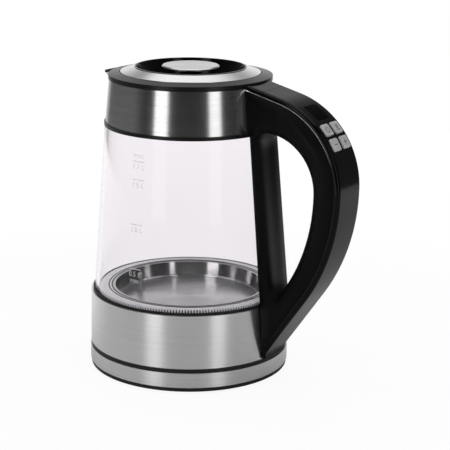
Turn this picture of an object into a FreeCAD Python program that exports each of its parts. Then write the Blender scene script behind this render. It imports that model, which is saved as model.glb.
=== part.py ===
import FreeCAD, Part

import math
import os
from types import SimpleNamespace

import Sketcher

# Driving dimensions of the kettle: millimetres, and degrees for the angles
SIZES = {
    # Fits
    "seat_gap": 0.1,
    "moving_gap": 0.4,
    "seam_gap": 0.25,
    # Power base
    "foot_drop": 1.2,
    "foot_seat": 1.0,
    "foot_width": 8.0,
    "foot_inset": 13.0,
    "base_radius": 79.0,
    "base_wall": 2.2,
    "base_sheet": 0.8,
    "base_pan_step": 0.6,
    "base_pan_edge": 3.2,
    "base_band_height": 11.5,
    "base_band_fold": 2.6,
    "base_cover_edge": 1.5,
    "stand_inset": 10.0,
    "stand_step": 0.8,
    "base_boss_inset": 13.0,
    "base_boss_radius": 4.0,
    "hub_radius": 19.5,
    "hub_height": 11.6,
    "hub_stem_radius": 17.0,
    "hub_flange_radius": 26.0,
    "hub_flange_thickness": 2.4,
    "socket_bore": 4.2,
    "slot_inner": 9.0,
    "slot_outer": 12.2,
    "slot_depth": 13.0,
    "contact_sheet": 1.0,
    "contact_ring_height": 2.0,
    "gland_angle": 120.0,
    "gland_barrel": 4.2,
    "gland_bore": 3.3,
    "gland_flange": 5.2,
    "gland_set": 0.3,
    "gland_flange_thickness": 1.5,
    # Kettle underside
    "bottom_edge": 2.0,
    "bottom_edge_step": 0.4,
    "bottom_wall": 2.0,
    "bottom_upstand": 7.6,
    "recess_gap": 2.5,
    "recess_clear": 2.0,
    "plug_hole": 14.0,
    "plug_flange": 20.0,
    "plug_flange_thickness": 3.0,
    "plug_pin_radius": 2.6,
    "plug_ring_sheet": 1.4,
    "plug_reach_gap": 1.4,
    "post_inset": 10.5,
    "post_radius": 4.0,
    "board_post_gap": 3.0,
    "board_width": 48.0,
    "board_thickness": 1.6,
    "board_clear": 6.0,
    "board_post_radius": 2.5,
    "board_post_inset": 4.0,
    "relay_size": 16.0,
    "relay_gap": 3.0,
    # Steel skirt, heater pan and its seal
    "skirt_step": 0.4,
    "skirt_draft": 0.6,
    "skirt_height": 41.8,
    "skirt_sheet": 0.8,
    "pan_sheet": 0.8,
    "pan_floor_drop": 8.2,
    "pan_inset": 16.3,
    "pan_draft": 2.0,
    "pan_rim_rise": 2.8,
    "pan_rim_width": 2.0,
    "pan_flange_drop": 1.0,
    "seal_floor": 1.5,
    "seal_lip": 1.1,
    "seal_inset": 0.6,
    "seal_lip_height": 1.5,
    "light_ring_height": 3.8,
    "spreader_inset": 3.0,
    "spreader_thickness": 3.0,
    "element_inset": 4.5,
    "element_radius": 3.6,
    "element_sweep": 300.0,
    "terminal_radius": 2.0,
    "terminal_length": 9.0,
    "cutout_radius": 14.0,
    "cutout_height": 4.0,
    "cutout_neck": 8.4,
    "cutout_neck_height": 2.4,
    "probe_radius": 2.0,
    "probe_height": 14.0,
    "probe_depth": 9.0,
    "probe_collar": 3.4,
    "probe_collar_height": 1.2,
    "probe_gap": 0.9,
    "probe_angle": 192.0,
    # Glass, neck and rim
    "glass_step": 2.7,
    "glass_draft": 8.7,
    "glass_wall": 3.2,
    "glass_height": 131.4,
    "trim_step": 0.3,
    "trim_height": 2.7,
    "liner_wall": 1.8,
    "liner_skirt": 0.8,
    "collar_step": 1.0,
    "collar_draft": 3.0,
    "collar_height": 33.2,
    "collar_sheet": 0.8,
    "rim_overhang": 0.5,
    "rim_edge": 3.6,
    "rim_rise": 1.7,
    "rim_wall": 2.0,
    "rim_tuck": 2.6,
    "rim_width": 8.1,
    "ledge_width": 5.0,
    "throat_depth": 17.6,
    "ledge_drop": 1.9,
    # Spout
    "spout_throw": 21.3,
    "spout_half_width": 15.0,
    "spout_root_inset": 7.9,
    "spout_tip": 2.4,
    "spout_start": 7.0,
    "spout_start_half_width": 2.4,
    "spout_start_tip": 0.8,
    "spout_start_set": 1.6,
    "spout_lip": 1.2,
    "beak_throw": 18.9,
    "beak_drop": 5.0,
    "beak_edge": 2.0,
    "pour_root_inset": 5.4,
    "window_half_width": 12.0,
    "window_margin": 3.0,
    "filter_sheet": 1.2,
    "filter_slot": 2.0,
    "filter_bar": 1.4,
    "filter_slots": 6,
    # Lid
    "lid_gap": 0.6,
    "lid_sheet": 0.9,
    "lid_flange": 1.2,
    "lid_ring_width": 11.0,
    "lid_ring_rise": 3.5,
    "lid_lip_width": 1.1,
    "lid_lip_rise": 0.5,
    "dish_depth": 12.4,
    "dish_slope": 6.0,
    "dish_wall": 2.0,
    "plug_gap": 1.2,
    "plug_wall": 2.0,
    "plug_chamfer": 3.0,
    "lid_seal_height": 3.0,
    "lid_seal_depth": 1.4,
    "lid_seal_drop": 4.0,
    "finger_space": 13.8,
    "knob_height": 2.2,
    "knob_edge": 0.9,
    "knob_chamfer": 0.8,
    "knob_under_cut": 2.2,
    "stem_foot_radius": 11.0,
    "stem_radius": 8.0,
    "stem_head_inset": 8.4,
    "stem_flare": 2.4,
    "lid_screw_inset": 12.0,
    # Handle
    "grip_throw": 63.2,
    "handle_root_inset": 12.9,
    "handle_width": 34.0,
    "grip_depth": 23.2,
    "neck_rise": 2.1,
    "bend_radius": 68.0,
    "crown_drop": 2.5,
    "grip_bulge": 15.0,
    "foot_thickness": 2.0,
    "foot_edge_height": 4.0,
    "foot_taper": 3.5,
    "loop_radius": 41.0,
    "loop_top_rise": 1.2,
    "strip_top_thickness": 2.8,
    "strip_bottom_thickness": 5.2,
    "fork_rise": 3.3,
    "loop_corner": 7.0,
    "fork_corner": 3.0,
    "loop_round": 5.0,
    "cover_round": 3.0,
    "foot_blend": 9.0,
    "handle_gap": 0.3,
    "cover_depth": 4.0,
    "trim_sheet": 0.6,
    "trim_foot_rise": 10.0,
    "cover_wall": 2.4,
    "handle_wall": 2.8,
    "neck_cover_length": 12.1,
    "cavity_foot_rise": 16.0,
    "cavity_angle": 68.0,
    # Controls
    "button_angle": 36.6,
    "button_row_pitch": 12.34,
    "button_column_gap": 3.6,
    "button_side_gap": 1.6,
    "button_length": 10.0,
    "button_corner": 1.8,
    "button_round": 0.7,
    "button_gap": 0.35,
    "button_rise": 1.2,
    "button_flange": 0.6,
    "button_flange_gap": 0.6,
    "button_flange_thickness": 0.9,
    "button_travel": 0.8,
    "window_angle": 56.0,
    "window_width": 17.0,
    "window_length": 16.0,
    "window_corner": 2.0,
    "window_thickness": 1.2,
    "window_ledge": 1.2,
    "control_depth": 10.0,
    "control_side_gap": 1.2,
    "control_up": 27.0,
    "control_down": 12.0,
    "control_thickness": 1.6,
    "switch_size": 6.0,
    "switch_body": 3.4,
    "plunger_radius": 1.75,
    "display_length": 10.0,
    "display_height": 3.0,
    "cable_width": 8.0,
    "cable_thickness": 1.2,
    "cable_angle": 24.0,
    "control_post_radius": 2.5,
    # Fasteners
    "screw_head": 3.0,
    "screw_head_height": 1.4,
    "screw_shank": 1.4,
    "screw_length": 9.0,
    "handle_screw_spread": 8.0,
    "handle_screw_set": 1.0,
}

doc = FreeCAD.newDocument("kettle")
sheet = doc.addObject("Spreadsheet::Sheet", "Sizes")
for row, (name, number) in enumerate(SIZES.items(), start=1):
    sheet.set(f"A{row}", name)
    sheet.set(f"B{row}", str(number))
    sheet.setAlias(f"B{row}", name)
doc.recompute()


DEGREES = math.degrees(1)


class Term:
    """A size: its number, and the expression on the sheet that gives it."""

    def __init__(self, value, text):
        self.value = value
        self.text = text

    def __add__(self, other):
        other = term(other)
        return Term(self.value + other.value, f"({self.text} + {other.text})")

    def __sub__(self, other):
        other = term(other)
        return Term(self.value - other.value, f"({self.text} - {other.text})")

    def __mul__(self, other):
        other = term(other)
        return Term(self.value * other.value, f"({self.text} * {other.text})")

    def __truediv__(self, other):
        other = term(other)
        return Term(self.value / other.value, f"({self.text} / {other.text})")

    def __neg__(self):
        return Term(-self.value, f"(0 - {self.text})")


def term(item):
    return item if isinstance(item, Term) else Term(float(item), str(item))


def root(area):
    return Term(math.sqrt(area.value), f"sqrt({area.text})")


def sine(angle):
    return Term(math.sin(math.radians(angle.value)), f"sin({angle.text})")


def cosine(angle):
    return Term(math.cos(math.radians(angle.value)), f"cos({angle.text})")


def arc_cosine(ratio):
    return Term(math.degrees(math.acos(ratio.value)), f"acos({ratio.text})")


def arc_tangent(ratio):
    return Term(math.degrees(math.atan(ratio.value)), f"atan({ratio.text})")


size = SimpleNamespace(**{name: Term(float(number), f"Sizes.{name}") for name, number in SIZES.items()})
nodes = {}


def node(thing):
    """Keep an object as one of the kettle's sub-parts, under its own label."""
    nodes[thing.Label] = thing
    return thing


def bind(thing, **sizes):
    """Tie properties of an object to the sheet."""
    for name, length in sizes.items():
        thing.setExpression(name, term(length).text)


def place(thing, x, y, z, axis=(0, 0, 1), angle=0):
    """Put an object at a point, turned about an axis, with every value tied to the sheet."""
    x, y, z, angle = term(x), term(y), term(z), term(angle)
    turn = FreeCAD.Rotation(FreeCAD.Vector(*axis), angle.value)
    thing.Placement = FreeCAD.Placement(FreeCAD.Vector(x.value, y.value, z.value), turn)
    for name, length in (("x", x), ("y", y), ("z", z)):
        thing.setExpression(f"Placement.Base.{name}", length.text)
    if angle.value:
        thing.setExpression("Placement.Rotation.Angle", angle.text)
    return thing


def new_sketch(body, role, name, level=0):
    """A sketch on one of the body's origin planes, lifted along its normal by a level."""
    plane = next(item for item in body.Origin.OriginFeatures if item.Role == role)
    sketch = body.newObject("Sketcher::SketchObject", name)
    sketch.AttachmentSupport = [(plane, "")]
    sketch.MapMode = "FlatFace"
    if term(level).value:
        sketch.setExpression("AttachmentOffset.Base.z", term(level).text)
    return sketch


def draw(sketch, corners, arcs=None):
    """Draw a closed outline; arcs maps a corner to the (radius, turn) of the side that leaves it."""
    arcs = arcs or {}
    corners = [(term(x), term(y)) for x, y in corners]
    spots = [FreeCAD.Vector(x.value, y.value, 0) for x, y in corners]
    first = {}
    last = {}
    for k, start in enumerate(spots):
        end = spots[(k + 1) % len(spots)]
        if k in arcs:
            radius, turn = term(arcs[k][0]), arcs[k][1]
            chord = end - start
            across = FreeCAD.Vector(-chord.y, chord.x, 0).normalize() * turn
            reach = math.sqrt(max(radius.value ** 2 - (chord.Length / 2) ** 2, 0))
            centre = (start + end) * 0.5 + across * reach
            angles = [math.atan2(p.y - centre.y, p.x - centre.x) for p in (start, end)]
            if turn < 0:
                angles.reverse()
            circle = Part.Circle(centre, FreeCAD.Vector(0, 0, 1), radius.value)
            index = sketch.addGeometry(Part.ArcOfCircle(circle, *angles))
            tied = sketch.addConstraint(Sketcher.Constraint("Radius", index, radius.value))
            sketch.setExpression(f"Constraints[{tied}]", radius.text)
            first[k], last[k] = ((index, 1), (index, 2)) if turn > 0 else ((index, 2), (index, 1))
        else:
            index = sketch.addGeometry(Part.LineSegment(start, end))
            first[k], last[k] = (index, 1), (index, 2)
    for k, corner in enumerate(corners):
        before = (k - 1) % len(corners)
        sketch.addConstraint(Sketcher.Constraint("Coincident", *last[before], *first[k]))
        for direction, length in zip(("DistanceX", "DistanceY"), corner):
            tied = sketch.addConstraint(Sketcher.Constraint(direction, -1, 1, *first[k], length.value))
            sketch.setExpression(f"Constraints[{tied}]", length.text)


def draw_circle(sketch, x, y, radius):
    x, y, radius = term(x), term(y), term(radius)
    centre = FreeCAD.Vector(x.value, y.value, 0)
    index = sketch.addGeometry(Part.Circle(centre, FreeCAD.Vector(0, 0, 1), radius.value))
    rules = (
        (Sketcher.Constraint("Radius", index, radius.value), radius),
        (Sketcher.Constraint("DistanceX", -1, 1, index, 3, x.value), x),
        (Sketcher.Constraint("DistanceY", -1, 1, index, 3, y.value), y),
    )
    for rule, length in rules:
        tied = sketch.addConstraint(rule)
        sketch.setExpression(f"Constraints[{tied}]", length.text)


def rounded_rectangle(length, width, corner):
    """Corners and arcs of a rectangle with round corners, centred, its length along x."""
    half, side = length / 2, width / 2
    corners = [
        (-half + corner, -side), (half - corner, -side),
        (half, -side + corner), (half, side - corner),
        (half - corner, side), (-half + corner, side),
        (-half, side - corner), (-half, -side + corner),
    ]
    return corners, {k: (corner, 1) for k in (1, 3, 5, 7)}


def turned(label, corners, arcs=None, sweep=360):
    """A solid of revolution about Z, from its half section (radius, height)."""
    body = doc.addObject("PartDesign::Body", label)
    sketch = new_sketch(body, "XZ_Plane", f"{label}_section")
    draw(sketch, corners, arcs)
    turn = body.newObject("PartDesign::Revolution", f"{label}_turn")
    turn.Profile = sketch
    turn.ReferenceAxis = (sketch, ["V_Axis"])
    bind(turn, Angle=sweep)
    return body


def add_pad(body, name, role, corners, length, level=0, arcs=None, midplane=False):
    sketch = new_sketch(body, role, f"{name}_outline", level)
    draw(sketch, corners, arcs)
    pad = body.newObject("PartDesign::Pad", name)
    pad.Profile = sketch
    pad.Midplane = midplane
    bind(pad, Length=length)
    return pad


def padded(label, role, corners, length, level=0, arcs=None, midplane=False):
    body = doc.addObject("PartDesign::Body", label)
    add_pad(body, f"{label}_pad", role, corners, length, level, arcs, midplane)
    return body


def add_posts(body, name, spots, radius, level, length):
    """Round posts that stand on a level of a body."""
    for k, (x, y) in enumerate(spots):
        sketch = new_sketch(body, "XY_Plane", f"{name}_{k}_outline", level)
        draw_circle(sketch, x, y, radius)
        pad = body.newObject("PartDesign::Pad", f"{name}_{k}")
        pad.Profile = sketch
        bind(pad, Length=length)


def on_circle(radius, angles):
    """Points on a circle about the kettle's axis."""
    return [(radius * cosine(term(angle)), radius * sine(term(angle))) for angle in angles]


def cylinder(label, radius, height):
    thing = doc.addObject("Part::Cylinder", label)
    bind(thing, Radius=radius, Height=height)
    return thing


def block(label, length, width, height):
    thing = doc.addObject("Part::Box", label)
    bind(thing, Length=length, Width=width, Height=height)
    return thing


def cut(label, base, *tools):
    for k, tool in enumerate(tools):
        last = k == len(tools) - 1
        result = doc.addObject("Part::Cut", label if last else f"{label}_cut_{k}")
        result.Base = base
        result.Tool = tool
        base = result
    return base


def common(label, first, second):
    result = doc.addObject("Part::Common", label)
    result.Base = first
    result.Tool = second
    return result


def fuse(label, *things):
    result = doc.addObject("Part::MultiFuse", label)
    result.Shapes = list(things)
    return result


def group(label, *things):
    result = doc.addObject("Part::Compound", label)
    result.Links = list(things)
    return result


def screw(label):
    """A pan-head screw, with its head on the XY plane and its shank up Z."""
    return turned(label, [
        (0, 0), (size.screw_head, 0), (size.screw_head, size.screw_head_height),
        (size.screw_shank, size.screw_head_height), (size.screw_shank, size.screw_length),
        (0, size.screw_length),
    ])


# Levels above the table
pan_bottom = size.foot_drop
pan_floor_top = pan_bottom + size.base_wall
foot_roof = pan_bottom + size.foot_seat
band_bottom = pan_bottom + size.base_pan_edge
band_top = band_bottom + size.base_band_height
cover_under = band_top - size.base_sheet
seat = band_top + size.base_cover_edge
hub_top = seat + size.hub_height
slot_floor = hub_top - size.slot_depth
skirt_bottom = seat + size.bottom_edge
skirt_top = skirt_bottom + size.skirt_height
heater_floor = skirt_top - size.pan_floor_drop
heater_under = heater_floor - size.pan_sheet
spreader_low = heater_under - size.spreader_thickness
element_level = spreader_low - size.element_radius
element_low = element_level - size.element_radius
heater_rim = skirt_top + size.pan_rim_rise
flange_top = skirt_top - size.pan_flange_drop
glass_bottom = flange_top + size.seal_floor
glass_top = glass_bottom + size.glass_height
collar_bottom = glass_top + size.trim_height
collar_top = collar_bottom + size.collar_height
rim_edge_top = collar_top + size.rim_edge
mouth_top = rim_edge_top + size.rim_rise
ledge = mouth_top - size.ledge_drop

# Radii, each from the one next to it, and all from the base's
skirt_bottom_radius = size.base_radius - size.skirt_step
skirt_top_radius = skirt_bottom_radius - size.skirt_draft
glass_bottom_radius = skirt_top_radius - size.glass_step
glass_top_radius = glass_bottom_radius - size.glass_draft
trim_radius = glass_top_radius + size.trim_step
collar_bottom_radius = trim_radius - size.collar_step
collar_top_radius = collar_bottom_radius - size.collar_draft
rim_radius = collar_top_radius + size.rim_overhang
mouth_radius = collar_top_radius - size.rim_width
throat_radius = mouth_radius - size.ledge_width
lid_ring_outer = mouth_radius - size.lid_gap
lid_ring_inner = lid_ring_outer - size.lid_ring_width
lip_outer = lid_ring_inner - size.seat_gap
lip_inner = lip_outer - size.lid_lip_width
dish_floor_radius = lip_inner - size.dish_slope
knob_radius = dish_floor_radius - size.finger_space
foot_outer = size.base_radius - size.foot_inset
foot_inner = foot_outer - size.foot_width
stand_radius = size.base_radius - size.stand_inset
base_boss_circle = foot_inner - size.base_boss_inset
post_circle = skirt_top_radius - size.post_inset
pan_rim_radius = glass_bottom_radius - size.pan_inset
pan_floor_radius = pan_rim_radius - size.pan_draft
spreader_radius = pan_floor_radius - size.spreader_inset
element_ring = spreader_radius - size.element_inset
probe_circle = element_ring - size.element_radius - size.probe_radius - size.probe_gap
band_inner = size.base_radius - size.base_sheet
band_fold_inner = size.base_radius - size.base_band_fold
pan_wall_outer = band_inner - size.seat_gap
pan_wall_inner = pan_wall_outer - size.base_wall
seal_outer = glass_bottom_radius + size.seal_lip
seal_inner = glass_bottom_radius - size.glass_wall - size.seal_inset
pan_rim_outer = pan_rim_radius + size.pan_rim_width


def make_base():
    """The power base: pan, steel band, cover, socket, foot ring, screws and cord gland."""
    node(turned("foot_ring", [
        (foot_inner, 0), (foot_outer, 0),
        (foot_outer, foot_roof), (foot_inner, foot_roof),
    ]))
    gland_length = size.base_radius - pan_wall_inner + size.gland_flange_thickness * 2
    gland = turned("cord_gland", [
        (size.gland_bore, 0), (size.gland_flange, 0), (size.gland_flange, size.gland_flange_thickness),
        (size.gland_barrel, size.gland_flange_thickness), (size.gland_barrel, gland_length),
        (size.gland_bore, gland_length),
    ])
    gland_level = (pan_floor_top + cover_under) / 2
    inset = pan_wall_inner - size.gland_flange_thickness - size.gland_set
    gland_spot = on_circle(inset, [size.gland_angle])[0]
    gland_hole = cylinder("gland_hole", size.gland_barrel + size.seat_gap, gland_length)
    for thing in (gland, gland_hole):
        lay_radially(thing, gland_spot, gland_level, size.gland_angle)
    node(gland)
    screw_spots = on_circle(base_boss_circle, [0, 120, 240])
    screws = []
    for k, (x, y) in enumerate(screw_spots):
        screws.append(place(screw(f"base_screw_{k}"), x, y, pan_bottom))
    screws = node(group("base_screws", *screws))
    groove_inner = foot_inner - size.seat_gap
    groove_outer = foot_outer + size.seat_gap
    pan_edge = size.base_radius - size.base_pan_step
    pan = turned("base_pan_blank", [
        (0, pan_bottom), (groove_inner, pan_bottom), (groove_inner, foot_roof), (groove_outer, foot_roof),
        (groove_outer, pan_bottom), (pan_edge, pan_bottom), (pan_edge, band_bottom),
        (pan_wall_outer, band_bottom), (pan_wall_outer, cover_under), (pan_wall_inner, cover_under),
        (pan_wall_inner, pan_floor_top), (0, pan_floor_top),
    ])
    node(cut("base_pan", pan, gland_hole, screws))
    band = turned("base_band_blank", [
        (band_inner, band_bottom), (size.base_radius, band_bottom), (size.base_radius, band_top),
        (band_fold_inner, band_top), (band_fold_inner, cover_under), (band_inner, cover_under),
    ])
    node(cut("base_band", band, gland_hole))
    hub_hole = size.hub_radius + size.seat_gap
    stand_low = seat - size.stand_step
    cover = turned("base_cover_blank", [
        (hub_hole, cover_under), (hub_hole, stand_low), (stand_radius, stand_low),
        (stand_radius + size.stand_step, seat), (band_inner, seat), (band_inner, band_top),
        (band_fold_inner - size.seat_gap, band_top), (band_fold_inner - size.seat_gap, cover_under),
    ])
    boss_height = stand_low - pan_floor_top
    add_posts(cover, "base_boss", screw_spots, size.base_boss_radius, pan_floor_top, boss_height)
    node(cut("base_cover", cover, screws))
    flange_under = cover_under - size.hub_flange_thickness
    node(turned("base_socket", [
        (0, pan_floor_top), (size.hub_stem_radius, pan_floor_top), (size.hub_stem_radius, flange_under),
        (size.hub_flange_radius, flange_under), (size.hub_flange_radius, cover_under),
        (size.hub_radius, cover_under), (size.hub_radius, hub_top), (size.slot_outer, hub_top),
        (size.slot_outer, slot_floor), (size.slot_inner, slot_floor), (size.slot_inner, hub_top),
        (size.socket_bore, hub_top), (size.socket_bore, slot_floor), (0, slot_floor),
    ]))
    sleeve_outer = size.socket_bore - size.seat_gap
    sleeve_inner = sleeve_outer - size.contact_sheet
    sleeve_top = hub_top - size.contact_ring_height
    sleeve = turned("socket_sleeve", [
        (sleeve_inner, slot_floor), (sleeve_outer, slot_floor),
        (sleeve_outer, sleeve_top), (sleeve_inner, sleeve_top),
    ])
    ring_top = slot_floor + size.contact_ring_height
    ring = turned("socket_ring", [
        (size.slot_inner + size.seat_gap, slot_floor), (size.slot_outer - size.seat_gap, slot_floor),
        (size.slot_outer - size.seat_gap, ring_top), (size.slot_inner + size.seat_gap, ring_top),
    ])
    node(group("socket_contacts", sleeve, ring))


def lay_radially(thing, spot, level, angle):
    """Lay a piece that was made along Z so that it points away from the axis, at an angle about it."""
    radial = FreeCAD.Rotation(FreeCAD.Vector(0, 0, 1), angle.value)
    flat = FreeCAD.Rotation(FreeCAD.Vector(0, 1, 0), 90)
    thing.Placement = FreeCAD.Placement(FreeCAD.Vector(), radial.multiply(flat))
    for name, length in zip("xyz", (*spot, level)):
        thing.setExpression(f"Placement.Base.{name}", term(length).text)
    return thing


def make_underside():
    """The kettle's bottom cover, its plug, the board and the screws that hold them."""
    recess = size.hub_radius + size.recess_gap
    roof_under = hub_top + size.recess_clear
    roof_top = roof_under + size.bottom_wall
    upstand = skirt_top_radius - size.skirt_sheet - size.seat_gap
    upstand_top = skirt_bottom + size.bottom_upstand
    floor_top = seat + size.bottom_wall
    edge = skirt_bottom_radius - size.bottom_edge_step
    post_spots = on_circle(post_circle, [60, 180, 300])
    screws = []
    for k, (x, y) in enumerate(post_spots):
        screws.append(place(screw(f"bottom_screw_{k}"), x, y, seat))
    screws = node(group("bottom_screws", *screws))
    cover = turned("bottom_cover_blank", [
        (recess, seat), (edge, seat), (edge, skirt_bottom), (upstand, skirt_bottom), (upstand, upstand_top),
        (upstand - size.bottom_wall, upstand_top), (upstand - size.bottom_wall, floor_top),
        (recess + size.bottom_wall, floor_top), (recess + size.bottom_wall, roof_top),
        (size.plug_hole, roof_top), (size.plug_hole, roof_under), (recess, roof_under),
    ])
    post_height = flange_top - size.pan_sheet - floor_top + size.bottom_wall / 2
    add_posts(cover, "pan_post", post_spots, size.post_radius, floor_top - size.bottom_wall / 2, post_height)
    board_near = -(recess + size.bottom_wall + size.board_post_radius)
    board_far = size.post_radius + size.board_post_gap - post_circle
    board_level = floor_top + size.board_clear
    side = size.board_width / 2 - size.board_post_inset
    board_posts = []
    for x in (board_near - size.board_post_inset, board_far + size.board_post_inset):
        board_posts += [(x, side), (x, -side)]
    post_foot = floor_top - size.bottom_wall / 2
    add_posts(cover, "board_post", board_posts, size.board_post_radius, post_foot, board_level - post_foot)
    node(cut("bottom_cover", cover, screws))
    board = block("power_board", board_near - board_far, size.board_width, size.board_thickness)
    node(place(board, board_far, -(size.board_width / 2), board_level))
    relay_low = board_level + size.board_thickness
    relay = block("relay", size.relay_size, size.relay_size, element_low - size.relay_gap - relay_low)
    relay_far = board_far + size.board_post_inset
    node(place(relay, relay_far, -(size.relay_size / 2), relay_low))
    bored = size.plug_hole - size.seat_gap
    flange_top_level = roof_top + size.plug_flange_thickness
    node(turned("kettle_plug", [
        (0, roof_under), (bored, roof_under), (bored, roof_top), (size.plug_flange, roof_top),
        (size.plug_flange, flange_top_level), (0, flange_top_level),
    ]))
    reach = slot_floor + size.plug_reach_gap
    pin = turned("plug_pin", [
        (0, reach), (size.plug_pin_radius, reach), (size.plug_pin_radius, roof_under), (0, roof_under),
    ])
    ring_mid = (size.slot_inner + size.slot_outer) / 2
    ring_inner = ring_mid - size.plug_ring_sheet / 2
    ring_outer = ring_mid + size.plug_ring_sheet / 2
    ring_low = slot_floor + size.contact_ring_height + size.plug_reach_gap
    ring = turned("plug_ring", [
        (ring_inner, ring_low), (ring_outer, ring_low), (ring_outer, roof_under), (ring_inner, roof_under),
    ])
    node(group("plug_contacts", pin, ring))


def make_heater(foot_screws):
    """The steel skirt, the heater pan with what hangs under it, its seal and the clear ring."""
    skirt_lip = seal_outer + size.seat_gap
    skirt = turned("lower_band_blank", [
        (skirt_bottom_radius - size.skirt_sheet, skirt_bottom), (skirt_bottom_radius, skirt_bottom),
        (skirt_top_radius, skirt_top), (skirt_lip, skirt_top), (skirt_lip, skirt_top - size.skirt_sheet),
        (skirt_top_radius - size.skirt_sheet, skirt_top - size.skirt_sheet),
    ])
    node(cut("lower_band", skirt, foot_screws))
    probe_x, probe_y = on_circle(probe_circle, [size.probe_angle])[0]
    probe_low = heater_floor - size.probe_depth
    probe_top = heater_floor + size.probe_height
    collar_top_level = heater_floor + size.probe_collar_height
    probe = turned("temperature_probe", [
        (0, probe_low), (size.probe_radius, probe_low), (size.probe_radius, heater_floor),
        (size.probe_collar, heater_floor), (size.probe_collar, collar_top_level),
        (size.probe_radius, collar_top_level), (size.probe_radius, probe_top - size.probe_radius),
        (0, probe_top),
    ], {6: (size.probe_radius, 1)})
    node(place(probe, probe_x, probe_y, 0))
    probe_hole = cylinder("probe_hole", size.probe_radius + size.seat_gap, size.probe_depth)
    place(probe_hole, probe_x, probe_y, probe_low)
    inner_leg = pan_rim_outer - size.pan_sheet
    pan = turned("heater_pan_blank", [
        (0, heater_floor), (pan_floor_radius, heater_floor), (pan_rim_radius, heater_rim),
        (pan_rim_outer, heater_rim), (pan_rim_outer, flange_top), (seal_outer, flange_top),
        (seal_outer, flange_top - size.pan_sheet), (inner_leg, flange_top - size.pan_sheet),
        (inner_leg, heater_rim - size.pan_sheet),
        (pan_rim_radius + size.pan_sheet, heater_rim - size.pan_sheet),
        (pan_floor_radius + size.pan_sheet, heater_under), (0, heater_under),
    ])
    node(cut("heater_pan", pan, probe_hole))
    spreader = turned("heat_spreader_blank", [
        (0, spreader_low), (spreader_radius, spreader_low), (spreader_radius, heater_under),
        (0, heater_under),
    ])
    node(cut("heat_spreader", spreader, probe_hole))
    flat = size.element_radius / 2
    tube_inner = element_ring - size.element_radius
    tube_outer = element_ring + size.element_radius
    tube = turned("element_tube", [
        (tube_inner, spreader_low), (tube_inner, element_level), (element_ring - flat, element_low),
        (element_ring + flat, element_low), (tube_outer, element_level), (tube_outer, spreader_low),
    ], sweep=size.element_sweep)
    terminals = []
    for k, (x, y) in enumerate(on_circle(element_ring, [0, size.element_sweep])):
        pin = cylinder(f"element_terminal_{k}", size.terminal_radius, size.terminal_length)
        terminals.append(place(pin, x, y, element_level - size.terminal_length))
    node(fuse("heating_element", tube, *terminals))
    cutout_low = spreader_low - size.cutout_height
    neck_low = cutout_low - size.cutout_neck_height
    node(turned("thermal_cutout", [
        (0, spreader_low), (size.cutout_radius, spreader_low), (size.cutout_radius, cutout_low),
        (size.cutout_neck, cutout_low), (size.cutout_neck, neck_low), (0, neck_low),
    ]))
    lip_inner = glass_bottom_radius + size.seat_gap
    lip_top = glass_bottom + size.seal_lip_height
    node(turned("pan_seal", [
        (seal_inner, flange_top), (seal_outer, flange_top), (seal_outer, lip_top), (lip_inner, lip_top),
        (lip_inner, glass_bottom), (seal_inner, glass_bottom),
    ]))
    ring_inner = pan_rim_outer + size.seat_gap
    ring_outer = seal_inner - size.seat_gap
    ring_top = flange_top + size.light_ring_height
    node(turned("light_ring", [
        (ring_inner, flange_top), (ring_outer, flange_top), (ring_outer, ring_top), (ring_inner, ring_top),
    ]))


# Spout: how far the neck's beak would reach at the neck's top, and the tip of the rim's beak over it
spout_reach = collar_top_radius + size.spout_throw
spout_root = collar_top_radius - size.spout_root_inset
pour_root = collar_top_radius - size.pour_root_inset
beak_tip = rim_radius + size.beak_throw
beak_top = rim_edge_top - size.beak_drop
beak_low = beak_top - size.beak_edge


def spout_solid(label, inset):
    """The pressed beak of the neck: a three-sided wedge that opens from the neck's side to the rim."""
    body = doc.addObject("PartDesign::Body", label)
    start_reach = collar_bottom_radius - size.spout_start_set
    levels = (
        (collar_bottom + size.spout_start, start_reach, size.spout_start_half_width, size.spout_start_tip),
        (collar_top, spout_reach, size.spout_half_width, size.spout_tip),
    )
    sections = []
    for k, (level, reach, half, tip) in enumerate(levels):
        sketch = new_sketch(body, "XY_Plane", f"{label}_section_{k}", level)
        draw(sketch, *spout_outline(reach - inset, half - inset, tip))
        sections.append(sketch)
    loft = body.newObject("PartDesign::AdditiveLoft", f"{label}_loft")
    loft.Profile = sections[0]
    loft.Sections = sections[1:]
    loft.Ruled = True
    return body


def spout_outline(reach, half, tip, back=spout_root):
    """Plan of the beak: two straight sides from its root to a round tip that points along -X."""
    shoulder = reach - tip * 0.5
    corners = [(-back, -half), (-back, half), (-shoulder, tip), (-shoulder, -tip)]
    return corners, {2: (tip * 1.25, 1)}


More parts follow.
